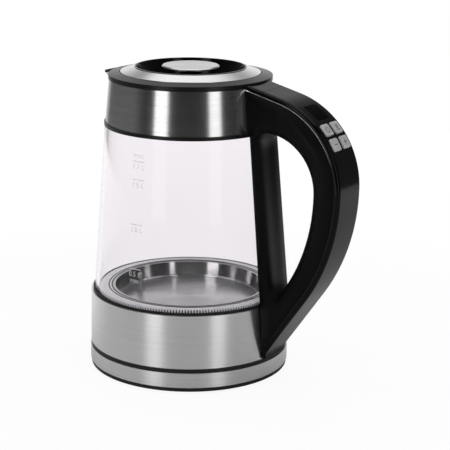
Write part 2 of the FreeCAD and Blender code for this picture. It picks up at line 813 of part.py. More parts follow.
def make_neck(neck_screws):
    """The glass, the steel collar with its beak, the liner that joins them, the rim and the spout filter."""
    node(turned("glass_body", [
        (glass_bottom_radius - size.glass_wall, glass_bottom), (glass_bottom_radius, glass_bottom),
        (glass_top_radius, glass_top), (glass_top_radius - size.glass_wall, glass_top),
    ]))
    inset = size.collar_sheet
    outside = fuse(
        "collar_outside",
        turned("collar_cone", [
            (0, collar_bottom), (collar_bottom_radius, collar_bottom),
            (collar_top_radius, collar_top), (0, collar_top),
        ]),
        spout_solid("collar_beak", 0),
    )
    channel = spout_solid("spout_channel", inset)
    inside = fuse(
        "collar_inside",
        turned("collar_bore", [
            (0, collar_bottom), (collar_bottom_radius - inset, collar_bottom),
            (collar_top_radius - inset, collar_top), (0, collar_top),
        ]),
        channel,
    )
    node(cut("collar", outside, inside, above_beak(), neck_screws))
    liner_bottom = collar_bottom_radius - inset - size.seat_gap
    liner_top = collar_top_radius - inset - size.seat_gap
    skirt_outer = glass_top_radius - size.glass_wall - size.seat_gap * 2
    skirt_low = glass_top - size.liner_skirt
    liner = turned("neck_liner_blank", [
        (skirt_outer - size.liner_wall, skirt_low), (skirt_outer, skirt_low), (skirt_outer, glass_top),
        (trim_radius, glass_top), (trim_radius, collar_bottom), (liner_bottom, collar_bottom),
        (liner_top, collar_top), (liner_top - size.liner_wall, collar_top),
        (liner_bottom - size.liner_wall, collar_bottom), (skirt_outer - size.liner_wall, glass_top),
    ])
    node(cut("neck_liner", liner, channel, neck_screws))
    tuck = liner_top - size.liner_wall - size.seat_gap
    tuck_low = collar_top - size.rim_tuck
    throat_low = collar_top - size.throat_depth
    throat_outer = throat_radius + size.rim_wall
    ring = turned("rim_ring", [
        (throat_radius, throat_low), (throat_radius, ledge), (mouth_radius, ledge),
        (mouth_radius, mouth_top), (rim_radius, rim_edge_top), (rim_radius, collar_top),
        (tuck, collar_top), (tuck, tuck_low), (tuck - size.rim_wall, tuck_low),
        (tuck - size.rim_wall, collar_top), (throat_outer, collar_top), (throat_outer, throat_low),
    ])
    beak, pour = make_beak()
    window_low = throat_low + size.window_margin
    window_height = size.throat_depth - size.rim_tuck - size.window_margin
    window = block("spout_window", size.rim_wall * 4, size.window_half_width * 2, window_height)
    place(window, -(throat_outer + size.rim_wall), -size.window_half_width, window_low)
    node(cut("top_rim", fuse("rim_and_beak", ring, beak), pour, channel, window))
    node(make_filter(throat_outer, window_low, window_height))


def above_beak():
    """All the space over the underside of the rim's beak, which falls from the rim to its tip and beyond."""
    run = beak_tip - rim_radius
    fall = collar_top - beak_low
    past = size.rim_edge / run
    return turned("above_beak", [
        (rim_radius, collar_top), (beak_tip + run * past, beak_low - fall * past),
        (beak_tip + run * past, mouth_top), (rim_radius, mouth_top),
    ])


def make_beak():
    """The rim's beak, which carries on the rim's slope out to a point, and the opening it pours through."""
    slope = turned("beak_slope", [
        (spout_root, collar_top), (rim_radius, collar_top), (beak_tip, beak_low), (beak_tip, beak_top),
        (rim_radius, rim_edge_top), (spout_root, rim_edge_top),
    ])
    level = beak_low - size.rim_edge
    height = mouth_top - level
    overhang = size.rim_overhang
    corners, arcs = spout_outline(beak_tip, size.spout_half_width + overhang, size.spout_tip + overhang)
    plan = padded("beak_plan", "XY_Plane", corners, height, level, arcs)
    corners, arcs = spout_outline(
        beak_tip - size.spout_lip, size.spout_half_width - size.spout_lip * 2, size.spout_tip, pour_root)
    pour = padded("pour_opening", "XY_Plane", corners, height, level, arcs)
    return common("rim_beak", slope, plan), pour


def make_filter(inner, low, height):
    """The slotted plate that covers the spout's window from behind."""
    margin = size.window_margin / 2
    outer = inner + size.filter_sheet
    plate = turned("filter_ring", [
        (inner, low - margin), (outer, low - margin), (outer, low + height), (inner, low + height),
    ])
    half = size.window_half_width + margin
    near = block("filter_side", outer, half * 2, height + margin * 2)
    place(near, -outer, -half, low - margin)
    plate = common("filter_plate", plate, near)
    pitch = size.filter_slot + size.filter_bar
    slots = []
    for k in range(SIZES["filter_slots"]):
        across = pitch * (k - (SIZES["filter_slots"] - 1) / 2) - size.filter_slot / 2
        slot = block(f"filter_slot_{k}", outer, size.filter_slot, height - margin * 2)
        slots.append(place(slot, -(outer + size.filter_sheet), across, low + margin))
    return cut("spout_filter", plate, fuse("filter_openings", *slots))


def make_lid():
    """The pull-off lid: steel ring, dish, plug, seal, knob and screws."""
    under_outer = ledge + size.lid_flange
    under_inner = under_outer + size.lid_ring_rise
    node(turned("lid_ring", [
        (lid_ring_outer, under_outer), (lid_ring_outer, under_outer + size.lid_sheet),
        (lid_ring_inner + size.lid_sheet, under_inner + size.lid_sheet),
        (lid_ring_inner, under_inner + size.lid_sheet), (lid_ring_inner, under_inner),
    ]))
    lip_top = under_inner + size.lid_sheet + size.lid_lip_rise
    dish_top = under_inner - size.dish_depth
    dish_low = dish_top - size.dish_wall
    plug_radius = throat_radius - size.plug_gap
    bowl = dish_floor_radius + size.dish_wall
    screw_spots = on_circle(dish_floor_radius - size.lid_screw_inset, [30, 150, 270])
    plug_low = collar_top - size.throat_depth
    screws = []
    for k, (x, y) in enumerate(screw_spots):
        screws.append(place(screw(f"lid_screw_{k}"), x, y, plug_low))
    screws = node(group("lid_screws", *screws))
    dish = turned("lid_dish", [
        (0, dish_low), (bowl, dish_low), (lid_ring_inner + size.dish_wall, ledge), (lid_ring_outer, ledge),
        (lid_ring_outer, under_outer), (lid_ring_inner, under_inner), (lip_outer, under_inner),
        (lip_outer, lip_top), (lip_inner, lip_top), (dish_floor_radius, dish_top), (0, dish_top),
    ])
    node(dish)
    seal_top = ledge - size.lid_seal_drop
    seal_low = seal_top - size.lid_seal_height
    groove = plug_radius - size.lid_seal_depth
    plug_inner = groove - size.plug_wall
    plug_floor = plug_low + size.plug_wall
    plug = turned("lid_plug_blank", [
        (0, plug_low), (plug_radius - size.plug_chamfer, plug_low),
        (plug_radius, plug_low + size.plug_chamfer), (plug_radius, seal_low), (groove, seal_low),
        (groove, seal_top), (plug_radius, seal_top),
        (plug_radius, ledge), (plug_inner, ledge), (plug_inner, plug_floor), (0, plug_floor),
    ])
    post_foot = plug_floor - size.plug_wall / 2
    add_posts(plug, "lid_post", screw_spots, size.post_radius, post_foot, dish_low - post_foot)
    node(cut("lid_plug", plug, screws))
    node(turned("lid_seal", [
        (groove, seal_low), (throat_radius - size.moving_gap, seal_low),
        (throat_radius - size.moving_gap, seal_top), (groove, seal_top),
    ]))
    knob_low = under_inner + size.lid_sheet - size.knob_edge
    node(turned("knob_stem", [
        (0, dish_top), (size.stem_foot_radius, dish_top), (size.stem_radius, dish_top + size.stem_flare),
        (size.stem_radius, knob_low - size.stem_flare), (knob_radius - size.stem_head_inset, knob_low),
        (0, knob_low),
    ]))
    edge_low = knob_low + size.knob_height - size.knob_edge - size.knob_chamfer
    edge_top = knob_low + size.knob_height - size.knob_chamfer
    node(turned("knob_cap", [
        (0, knob_low), (knob_radius - size.knob_under_cut, knob_low), (knob_radius, edge_low),
        (knob_radius, edge_top), (knob_radius - size.knob_chamfer, edge_top + size.knob_chamfer),
        (0, edge_top + size.knob_chamfer),
    ]))


# Handle outline in the plane of the handle: X away from the kettle, Z up
half_width = size.handle_width / 2
handle_reach = size.base_radius + size.grip_throw
handle_root = collar_top_radius - size.handle_root_inset
cover_start = collar_top_radius + size.neck_cover_length
foot_reach = skirt_bottom_radius + size.foot_thickness
foot_bottom = skirt_bottom + size.seat_gap
foot_top = foot_bottom + size.foot_edge_height
neck_top = collar_top + size.neck_rise
bend_x = handle_reach - size.bend_radius
bend_z = collar_top - size.crown_drop - size.bend_radius
grip_radius = bend_z - foot_top + size.grip_bulge
grip_x = handle_reach - grip_radius
cavity_width = size.handle_width - size.handle_wall * 2
row_lean = size.button_row_pitch / 2 / size.bend_radius * DEGREES
button_width = cavity_width / 2 - size.button_side_gap - size.button_flange - size.button_column_gap / 2
column_pitch = button_width + size.button_column_gap


def lean_of(run, rise, radius):
    """Lean from the vertical of the normal where a straight run meets an arc, seen from the arc's centre."""
    return arc_tangent(run / rise) + arc_cosine(radius / root(run * run + rise * rise))


neck_lean = lean_of(rim_radius - bend_x, neck_top - bend_z, size.bend_radius)
foot_lean = lean_of(foot_reach - grip_x, bend_z - foot_top, grip_radius)


def outer_points(inset):
    """The handle's outer line, moved inwards: neck, start of bend, furthest point, end of grip, foot."""
    neck = (rim_radius - inset * sine(neck_lean), neck_top - inset * cosine(neck_lean))
    bend = size.bend_radius - inset
    start = (bend_x + bend * sine(neck_lean), bend_z + bend * cosine(neck_lean))
    furthest = (handle_reach - inset, bend_z)
    grip = grip_radius - inset
    end = (grip_x + grip * sine(foot_lean), bend_z - grip * cosine(foot_lean))
    foot = (foot_reach - inset * sine(foot_lean), foot_top + inset * cosine(foot_lean))
    return neck, start, furthest, end, foot


def handle_region(label, inset, width):
    """A slab of the handle's side outline, with its outer line moved inwards by an inset."""
    neck, start, furthest, end, foot = outer_points(inset)
    rise = (rim_radius - handle_root) * sine(neck_lean) / cosine(neck_lean)
    corners = [
        (handle_root, foot_bottom), (foot[0], foot_bottom), foot, end, furthest, start,
        (handle_root, neck[1] + rise),
    ]
    arcs = {3: (grip_radius - inset, 1), 4: (size.bend_radius - inset, 1)}
    body = doc.addObject("PartDesign::Body", label)
    add_pad(body, f"{label}_slab", "XZ_Plane", corners, width, arcs=arcs, midplane=True)
    return body


# Finger loop of the handle
loop_top = collar_bottom + size.loop_top_rise
loop_reach = handle_reach - size.grip_depth
loop_z = loop_top - size.loop_radius
strip_back_top = trim_radius + size.handle_gap * 2
strip_back_bottom = skirt_bottom_radius + size.handle_gap
fork_z = skirt_top + size.fork_rise
fork_x = strip_back_bottom + size.strip_bottom_thickness
fork_run = loop_reach - fork_x
fork_drop = loop_z - fork_z
loop_lower_radius = (fork_run * fork_run + fork_drop * fork_drop) / (fork_run * 2)
strip_front_top = strip_back_top + size.strip_top_thickness


def named_edges(shape, wanted):
    return [f"Edge{k}" for k, edge in enumerate(shape.Edges, start=1) if wanted(edge)]


def add_fillet(body, base, name, edges, radius):
    fillet = body.newObject("PartDesign::Fillet", name)
    fillet.Base = (base, edges)
    bind(fillet, Radius=radius)
    doc.recompute()
    return fillet


def runs_across(edge, x, z):
    """True for an edge along Y through a point of the handle's side view."""
    spots = [vertex.Point for vertex in edge.Vertexes]
    near = all(math.hypot(spot.x - x.value, spot.z - z.value) < 0.01 for spot in spots)
    return near and len(spots) == 2


def on_side(edge):
    """True for an edge that lies on one of the handle's two flat sides."""
    box = edge.BoundBox
    flat = box.YMax - box.YMin < 0.001
    return flat and abs(abs(box.YMin) - half_width.value) < 0.001


def handle_blank():
    """The whole handle as one moulding: side outline, finger loop and rounded edges."""
    body = handle_region("handle_blank", term(0), size.handle_width)
    doc.recompute()
    top = (loop_reach - size.loop_radius, loop_top)
    corners = [(strip_front_top, loop_top), (fork_x, fork_z), (loop_reach, loop_z), top]
    sketch = new_sketch(body, "XZ_Plane", "finger_loop_outline")
    draw(sketch, corners, {1: (loop_lower_radius, 1), 2: (size.loop_radius, 1)})
    before = body.Shape.Volume
    loop = body.newObject("PartDesign::Pocket", "finger_loop")
    loop.Profile = sketch
    loop.Type = "ThroughAll"
    loop.Midplane = True
    doc.recompute()
    if loop.Shape.Volume >= before:
        raise RuntimeError("the finger loop is not cut")
    shape = loop.Shape
    top_edges = named_edges(shape, lambda edge: runs_across(edge, strip_front_top, loop_top))
    rounded = add_fillet(body, loop, "loop_top_corner", top_edges, size.loop_corner)
    fork_edges = named_edges(rounded.Shape, lambda edge: runs_across(edge, fork_x, fork_z))
    rounded = add_fillet(body, rounded, "loop_fork_corner", fork_edges, size.fork_corner)
    foot = outer_points(term(0))[4]
    foot_edges = named_edges(rounded.Shape, lambda edge: runs_across(edge, *foot))
    rounded = add_fillet(body, rounded, "foot_corner", foot_edges, size.foot_blend)
    sides = [face for face in rounded.Shape.Faces if len(face.Wires) == 2]
    loop_rims = [edge for face in sides for wire in face.Wires for edge in wire.Edges
                 if not wire.isSame(face.OuterWire)]
    loop_edges = named_edges(rounded.Shape, lambda edge: any(edge.isSame(rim) for rim in loop_rims))
    rounded = add_fillet(body, rounded, "loop_rims", loop_edges, size.loop_round)

    def is_outer(edge):
        box = edge.BoundBox
        free = box.ZMax > foot_bottom.value + 0.01 and box.XMax > handle_root.value + 0.01
        return free and on_side(edge) and not any(edge.isSame(rim) for rim in inner_rims)

    sides = [face for face in rounded.Shape.Faces if len(face.Wires) == 2]
    inner_rims = [edge for face in sides for wire in face.Wires for edge in wire.Edges
                  if not wire.isSame(face.OuterWire)]
    return add_fillet(body, rounded, "outer_rims", named_edges(rounded.Shape, is_outer), size.cover_round)


def make_handle_screws():
    """Four screws that pull the handle against the collar and the skirt, from inside."""
    groups = {}
    neck_level = collar_bottom + size.collar_height / 2
    foot_level = skirt_bottom + size.skirt_height / 2
    collar_face = (collar_top_radius + collar_bottom_radius) / 2
    liner_face = collar_face - size.collar_sheet - size.liner_wall
    skirt_face = (skirt_top_radius + skirt_bottom_radius) / 2 - size.skirt_sheet
    head = size.screw_head_height + size.handle_screw_set
    starts = {"neck": (neck_level, liner_face - head), "foot": (foot_level, skirt_face - head)}
    for name, (level, start) in starts.items():
        pair = []
        for k, side in enumerate((1, -1)):
            piece = screw(f"{name}_screw_{k}")
            pair.append(place(piece, start, size.handle_screw_spread * side, level, (0, 1, 0), 90))
        groups[name] = group(f"{name}_screws", *pair)
    return groups


def bend_frame(angle, distance, along):
    """A point on the bend: an angle from the horizontal, a distance from its centre, moved along it."""
    x = bend_x + distance * cosine(angle) + along * sine(angle)
    z = bend_z + distance * sine(angle) - along * cosine(angle)
    return x, z


def place_on_bend(thing, angle, distance, along, across):
    x, z = bend_frame(angle, distance, along)
    return place(thing, x, across, z, (0, 1, 0), term(90) - angle)


def make_handle(screws):
    """The moulded handle, split into a carrier, a trim line and two covers, with the controls."""
    clearance = turned("handle_clearance", [
        (0, 0), (strip_back_bottom, 0), (strip_back_bottom, skirt_top), (strip_back_top, glass_top),
        (strip_back_top, collar_bottom + size.handle_gap),
        (collar_bottom_radius + size.handle_gap, collar_bottom + size.handle_gap),
        (collar_top_radius + size.handle_gap, collar_top),
        (collar_top_radius + size.rim_overhang + size.handle_gap, collar_top),
        (collar_top_radius + size.rim_overhang + size.handle_gap, mouth_top), (0, mouth_top),
    ])
    tapered = common("handle_tapered", handle_blank(), foot_sides())
    shaped = cut("handle_shaped", tapered, clearance)
    cavity = make_cavity()
    wide = size.handle_width * 2
    below = handle_region("below_seam", size.cover_depth, wide)
    trim_low = handle_region("below_trim", size.cover_depth - size.seat_gap, wide)
    trim_top = size.cover_depth - size.seat_gap - size.trim_sheet
    trim_zone = handle_region("trim_height", trim_top, wide)
    above = handle_region("below_cover", trim_top - size.seat_gap, wide)
    trim_end = foot_top + size.trim_foot_rise
    trim_foot = block("trim_foot", handle_reach, wide, trim_end)
    place(trim_foot, 0, -size.handle_width, 0)
    node(cut("grip_trim", common("trim_band", shaped, trim_zone), trim_low, cavity, trim_foot))
    slot_foot = block("trim_slot_foot", handle_reach, wide, trim_end - size.seat_gap)
    place(slot_foot, 0, -size.handle_width, 0)
    trim_slot = cut("trim_slot", above, slot_foot)
    carrier = cut("handle_carrier", common("handle_lower", shaped, below), cavity)
    posts = common("posts_inside", fuse("control_posts", *control_posts()), shaped)
    carrier = fuse("handle_with_posts", carrier, posts)
    node(cut("handle_body", carrier, screws["neck"], screws["foot"]))
    skin = cut("handle_skin", shaped, trim_low, trim_slot, cavity)
    near = block("neck_side", cover_start, wide, mouth_top)
    place(near, 0, -size.handle_width, 0)
    far = block("cover_side", cover_start + size.seam_gap, wide, mouth_top)
    place(far, 0, -size.handle_width, 0)
    tall = block("neck_height", handle_reach, wide, mouth_top - collar_bottom)
    place(tall, 0, -size.handle_width, collar_bottom)
    neck = common("neck_skin", skin, near)
    node(common("neck_cover", neck, tall))
    neck_zone = common("neck_zone", far, tall)
    openings, buttons = make_buttons()
    window_hole, window = make_window()
    foot_seam = block("foot_seam", handle_reach, wide, foot_bottom + size.seam_gap)
    place(foot_seam, 0, -size.handle_width, 0)
    node(cut("handle_cover", skin, neck_zone, foot_seam, openings, window_hole))
    for thing in (*buttons, window):
        node(thing)
    make_controls()
    node(group("handle_screws", screws["neck"], screws["foot"]))


def foot_sides():
    """A tall slab whose sides close in below the fork, so that the foot gets narrower downwards."""
    fall = fork_z - foot_bottom
    half = half_width - size.foot_taper
    wide = half_width + size.foot_taper
    corners = [
        (-(half - size.foot_taper), foot_bottom - fall), (half - size.foot_taper, foot_bottom - fall),
        (wide, fork_z + fall), (wide, mouth_top), (-wide, mouth_top), (-wide, fork_z + fall),
    ]
    return padded("foot_sides", "YZ_Plane", corners, handle_reach + size.cover_depth)


def make_cavity():
    """The hollow of the grip, from the neck cover's seam down to above the foot."""
    inset = size.cover_wall
    grow = size.handle_wall
    top_lean = size.cavity_angle
    bend = size.bend_radius - inset
    grip = grip_radius - inset
    loop = size.loop_radius + grow
    lower = loop_lower_radius + grow
    lower_x = loop_reach - loop_lower_radius
    low = fork_z + size.cavity_foot_rise
    drop_outer = bend_z - low
    drop_inner = loop_z - low
    top_outer = (bend_x + bend * cosine(top_lean), bend_z + bend * sine(top_lean))
    loop_x = loop_reach - size.loop_radius
    top_inner = (loop_x + loop * cosine(top_lean), loop_z + loop * sine(top_lean))
    low_outer = (grip_x + root(grip * grip - drop_outer * drop_outer), low)
    low_inner = (lower_x + root(lower * lower - drop_inner * drop_inner), low)
    corners = [
        low_inner, low_outer, (handle_reach - inset, bend_z),
        top_outer, top_inner, (loop_reach + grow, loop_z),
    ]
    arcs = {1: (grip, 1), 2: (bend, 1), 4: (loop, -1), 5: (lower, -1)}
    return padded("handle_cavity", "XZ_Plane", corners, cavity_width, arcs=arcs, midplane=True)


def make_buttons():
    """Four sprung button caps in two rows, each with a flange that keeps it in, and their openings."""
    caps = []
    openings = []
    rows = (("upper", size.button_angle + row_lean), ("lower", size.button_angle - row_lean))
    columns = (("left", -(column_pitch / 2)), ("right", column_pitch / 2))
    flange_top_depth = size.cover_wall + size.button_flange_gap
    flange_low_depth = flange_top_depth + size.button_flange_thickness
    for row, angle in rows:
        for column, across in columns:
            name = f"button_{row}_{column}"
            cap = doc.addObject("PartDesign::Body", name)
            outline, arcs = rounded_rectangle(size.button_length, button_width, size.button_corner)
            height = size.button_rise + flange_low_depth
            add_pad(cap, f"{name}_cap", "XY_Plane", outline, height, -flange_low_depth, arcs)
            flange = size.button_flange * 2
            outline, arcs = rounded_rectangle(
                size.button_length + flange, button_width + flange, size.button_corner)
            thickness = size.button_flange_thickness
            pad = add_pad(cap, f"{name}_flange", "XY_Plane", outline, thickness, -flange_low_depth, arcs)
            doc.recompute()
            rims = named_edges(pad.Shape, lambda edge: edge.BoundBox.ZMin > size.button_rise.value - 0.001)
            add_fillet(cap, pad, f"{name}_round", rims, size.button_round)
            place_on_bend(cap, angle, size.bend_radius, term(0), across)
            caps.append(cap)
            gap = size.button_gap * 2
            outline, arcs = rounded_rectangle(
                size.button_length + gap, button_width + gap, size.button_corner + size.button_gap)
            deep = height + size.button_rise
            hole = padded(f"{name}_hole", "XY_Plane", outline, deep, -flange_low_depth, arcs)
            openings.append(place_on_bend(hole, angle, size.bend_radius, term(0), across))
    return fuse("button_openings", *openings), caps


def make_window():
    """The dark display window, let into the cover above the buttons, and its recess."""
    outline, arcs = rounded_rectangle(size.window_length, size.window_width, size.window_corner)
    depth = size.window_thickness * 2
    lens = padded("window_slab", "XY_Plane", outline, depth, -size.window_thickness, arcs)
    place_on_bend(lens, size.window_angle, size.bend_radius, term(0), 0)
    window = common("display_window", lens, bend_shell("window_curve", size.bend_radius))
    gap = size.seat_gap * 2
    outline, arcs = rounded_rectangle(
        size.window_length + gap, size.window_width + gap, size.window_corner + size.seat_gap)
    depth = size.cover_wall * 2
    recess = padded("window_recess_slab", "XY_Plane", outline, depth * 2, -depth, arcs)
    place_on_bend(recess, size.window_angle, size.bend_radius, term(0), 0)
    recess = common("window_recess", recess, bend_shell("recess_curve", size.bend_radius + size.cover_wall))
    ledge_width = size.window_ledge * 2
    outline, arcs = rounded_rectangle(
        size.window_length - ledge_width, size.window_width - ledge_width, size.window_corner)
    hole = padded("window_hole", "XY_Plane", outline, depth * 2, -depth, arcs)
    place_on_bend(hole, size.window_angle, size.bend_radius, term(0), 0)
    return fuse("window_opening", recess, hole), window


def bend_shell(label, outer):
    """A ring along the handle's bend, from the window's underside out to a radius."""
    inner = size.bend_radius - size.window_thickness
    ring = turned(label, [(inner, 0), (outer, 0), (outer, size.handle_width), (inner, size.handle_width)])
    return place(ring, bend_x, half_width, bend_z, (1, 0, 0), 90)


def control_posts():
    """Two posts that carry the control board; they start in the wall of the finger loop."""
    top = size.bend_radius - size.control_depth - size.control_thickness
    low = size.loop_radius / 2
    posts = []
    for name, along in (("upper", -(size.control_up * 2 / 3)), ("lower", size.control_down * 2 / 3)):
        post = cylinder(f"control_post_{name}", size.control_post_radius, top - low)
        posts.append(place_on_bend(post, size.button_angle, low, along, 0))
    return posts


def make_controls():
    """Control board, four switches, the display block and the flat cable, inside the grip."""
    level = size.bend_radius - size.control_depth
    length = size.control_up + size.control_down
    width = cavity_width - size.control_side_gap * 2
    board = block("control_board", length, width, size.control_thickness)
    under = level - size.control_thickness
    node(place_on_bend(board, size.button_angle, under, -size.control_up, -(width / 2)))
    flange_low = size.bend_radius - size.cover_wall - size.button_flange_gap - size.button_flange_thickness
    plunger_top = (flange_low - size.button_travel) * cosine(row_lean) - size.plunger_radius * sine(row_lean)
    plunger_height = plunger_top - level - size.seat_gap
    switches = []
    for row, side in (("upper", -1), ("lower", 1)):
        for column, hand in (("left", -1), ("right", 1)):
            along = flange_low * sine(row_lean) * side
            across = column_pitch / 2 * hand
            case = block(f"switch_case_{row}_{column}", size.switch_size, size.switch_size, size.switch_body)
            place_on_bend(case, size.button_angle, level, along - size.switch_size / 2,
                          across - size.switch_size / 2)
            plunger = cylinder(f"switch_plunger_{row}_{column}", size.plunger_radius, plunger_height)
            place_on_bend(plunger, size.button_angle, level, along, across)
            switches.append(fuse(f"switch_{row}_{column}", case, plunger))
    node(group("tact_switches", *switches))
    display = block("display_block", size.display_length, size.window_width - size.window_corner * 2,
                    size.display_height)
    away = size.window_angle - size.button_angle
    along = size.window_corner - size.bend_radius * sine(away) - size.display_length / 2
    across = size.window_corner - size.window_width / 2
    node(place_on_bend(display, size.button_angle, level, along, across))
    wall = size.handle_wall + size.seat_gap
    inner = size.loop_radius + wall
    outer = inner + size.cable_thickness
    lower_x = loop_reach - loop_lower_radius
    inner_low = loop_lower_radius + wall
    outer_low = inner_low + size.cable_thickness
    start = size.cable_angle
    finish = fork_z + size.cavity_foot_rise + size.seat_gap
    drop = loop_z - finish
    loop_x = loop_reach - size.loop_radius
    corners = [
        (lower_x + root(inner_low * inner_low - drop * drop), finish),
        (lower_x + root(outer_low * outer_low - drop * drop), finish),
        (loop_reach + wall + size.cable_thickness, loop_z),
        (loop_x + outer * cosine(start), loop_z + outer * sine(start)),
        (loop_x + inner * cosine(start), loop_z + inner * sine(start)),
        (loop_reach + wall, loop_z),
    ]
    arcs = {1: (outer_low, 1), 2: (outer, 1), 4: (inner, -1), 5: (inner_low, -1)}
    node(padded("handle_cable", "XZ_Plane", corners, size.cable_width, arcs=arcs, midplane=True))


def check_document():
    """Stop if an object failed or a sub-part has no sound shape."""
    doc.recompute()
    failed = [thing.Label for thing in doc.Objects if {"Invalid", "Error"} & set(thing.State)]
    unsound = [label for label, thing in nodes.items() if thing.Shape.isNull() or not thing.Shape.isValid()]
    empty = [label for label, thing in nodes.items() if not thing.Shape.Solids]
    if failed or unsound or empty:
        raise RuntimeError(f"failed: {failed}; unsound: {unsound}; empty: {empty}")


screws = make_handle_screws()
make_base()
make_underside()
make_heater(screws["foot"])
make_neck(screws["neck"])
make_lid()
make_handle(screws)
check_document()
os.makedirs("parts", exist_ok=True)
for label, thing in nodes.items():
    thing.Shape.exportStep(f"parts/{label}.step")
    print(label, len(thing.Shape.Solids), round(thing.Shape.Volume, 1))
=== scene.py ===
import math

import bmesh
import bpy
from mathutils import Matrix, Vector
from mathutils.bvhtree import BVHTree


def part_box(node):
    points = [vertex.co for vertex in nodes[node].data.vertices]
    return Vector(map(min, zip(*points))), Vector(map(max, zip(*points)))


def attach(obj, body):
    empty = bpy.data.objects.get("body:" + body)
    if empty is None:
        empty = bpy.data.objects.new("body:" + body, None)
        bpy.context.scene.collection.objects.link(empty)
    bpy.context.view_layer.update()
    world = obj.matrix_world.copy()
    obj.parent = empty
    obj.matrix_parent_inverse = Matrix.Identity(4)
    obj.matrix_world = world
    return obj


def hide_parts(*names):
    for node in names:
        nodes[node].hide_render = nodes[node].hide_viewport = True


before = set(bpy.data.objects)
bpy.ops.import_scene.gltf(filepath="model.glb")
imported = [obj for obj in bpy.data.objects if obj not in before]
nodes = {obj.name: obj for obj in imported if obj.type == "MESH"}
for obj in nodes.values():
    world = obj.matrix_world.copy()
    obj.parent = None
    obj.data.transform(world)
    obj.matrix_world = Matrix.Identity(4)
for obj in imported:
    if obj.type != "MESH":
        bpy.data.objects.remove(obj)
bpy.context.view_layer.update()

MM = 0.001

# Camera, in the frame of the kettle: the handle is turned this far towards it
HANDLE_TURN = math.radians(33.0)
RIGHT = Vector((math.cos(HANDLE_TURN), math.sin(HANDLE_TURN), 0.0))
AWAY = Vector((-math.sin(HANDLE_TURN), math.cos(HANDLE_TURN), 0.0))
CAMERA_RIGHT = 27.9 * MM
CAMERA_BACK = 1130.1 * MM
CAMERA_HEIGHT = 416.2 * MM
CAMERA_PITCH = math.radians(15.074)
CAMERA_ROLL = math.radians(0.694)
LENS = 118.2
SENSOR = 36.0

# White floor: its own grey, and the share of plain white that it shows, near the kettle and far from it
FLOOR_RADIUS = 1.0
FLOOR_CORNERS = 96
FLOOR_DROP = 0.2 * MM
FLOOR_GREY = 0.86
FLOOR_ROUGHNESS = 0.9
FLOOR_GLOW = 1.04
FLOOR_WHITE = (0.88, 1.0)
FLOOR_WHITE_REACH = (0.3 * FLOOR_RADIUS, 0.8 * FLOOR_RADIUS)
FLOOR_MIRROR_REACH = (0.0, 0.2 * FLOOR_RADIUS)

# Room: its tones from the camera's side to behind the kettle, and where mirrors see the white backdrop
ROOM_TONES = ((0.0, 0.03), (0.28, 0.04), (0.42, 0.2), (0.78, 0.18), (0.9, 0.2), (1.0, 0.4))
BACKDROP_REACH = (0.78, 1.0)
MIRRORED = 0.5

# Soft lights: tall strips, each with its turn from the camera, width and glow, and a wide box overhead
STRIPS = {"strip_left": (-37.5, 0.42, 2.6), "strip_right": (34.0, 0.36, 2.3)}
STRIP_DISTANCE = 1.3
STRIP_LEVEL = 0.6
STRIP_HEIGHT = 1.9
TOP_BOX_SIZE = 2.0
TOP_BOX_GLOW = 1.2
TOP_BOX_BACK = 0.35
TOP_BOX_LEVEL = 1.5

# Grain of the materials: scales in steps per metre, and how far tone and roughness stray
TONE_STOPS = (0.3, 0.7)
MOTTLE_STOPS = (0.35, 0.65)
ROUGHNESS_STRAY = 0.2
PLASTIC_STRAY = 0.1
BRUSH_ALONG = 1.2
BRUSH_ACROSS = 2600.0
BRUSH_DETAIL = 4.0
BRUSH_STREAK = 0.05
BRUSH_DEPTH = 0.01 * MM
BRUSH_STRENGTH = 0.25
BRUSH_TURN = 0.25
LYING = 0.5
MOTTLE_SCALE = 400.0
MOTTLE_DETAIL = 3.0
MOTTLE_DARK = 0.85
CLOUD_SCALE = 60.0
CLOUD_DETAIL = 2.0
CLOUD_PALE = 1.15
GRAIN_SCALE = 2200.0
GRAIN_DETAIL = 2.0
GRAIN_LEAST = 0.002 * MM
GRAIN_STRENGTH = 0.5
EDGE_SAMPLES = 6
WAVE_SCALE = 25.0
WAVE_DETAIL = 1.0
WAVE_PALE = 1.01
WAVE_DEPTH = 0.02 * MM
WAVE_STRENGTH = 0.3
FROST_SCALE = 300.0
FROST_DETAIL = 2.0
FROST_DARK = 0.92

# The frosted ring round the heater pan: small teeth on its outer edge, and a dark band of painted shade
# between them
RING_TEETH = 200
TOOTH_SHARE = 0.5
TOOTH_DEPTH = 4.0 * MM
TOOTH_HEIGHT = 2.6 * MM
TOOTH_FLANK = 0.04
GAP_SHADE_HEIGHT = 1.6 * MM
GAP_INSET = 0.5 * MM
GAP_SLIVER = 0.1125 * MM

# Thin seal lips on that ring, and a low pressed ring round the floor of the heater pan, in brighter steel
# than the pan for a painted highlight
LIP_RADIUS = 0.45 * MM
LIP_PLACES = (0.6 * MM, 3.0 * MM)
LIP_TURNS = 180
LIP_CORNERS = 8
RIDGE_RADIUS = 0.7 * MM
RIDGE_INSET = 0.8 * MM
FLAT = 0.999

# The painted highlight on the bright line in the handle's seam goes dark this far below the buttons
TRIM_HIGHLIGHT_FADE = 8.0 * MM

# Printed marks on the glass, on the -Y side, with the places of numbers and words in letter heights
MARK_TURN = math.radians(-90.0)
MARK_LIFT = 0.06 * MM
MARK_LITRES = (0.5, 1.0, 1.5, 1.7)
FIRST_LEVEL = 93.0 * MM
LEVEL_PER_LITRE = 68.3 * MM
LINE_LENGTH = 11.0 * MM
LINE_WIDTH = 0.7 * MM
LINE_THICKNESS = 0.04 * MM
LINE_PARTS = 6
LETTER_HEIGHT = 5.5 * MM
LETTER_HALF_THICKNESS = 0.02 * MM
LETTER_STEPS = 3
NUMBER_DROP = 0.75
LOWEST_WORD_DROP = 1.75
HIGHEST_WORD_RISE = 0.7
WORD_SCALE = 0.8

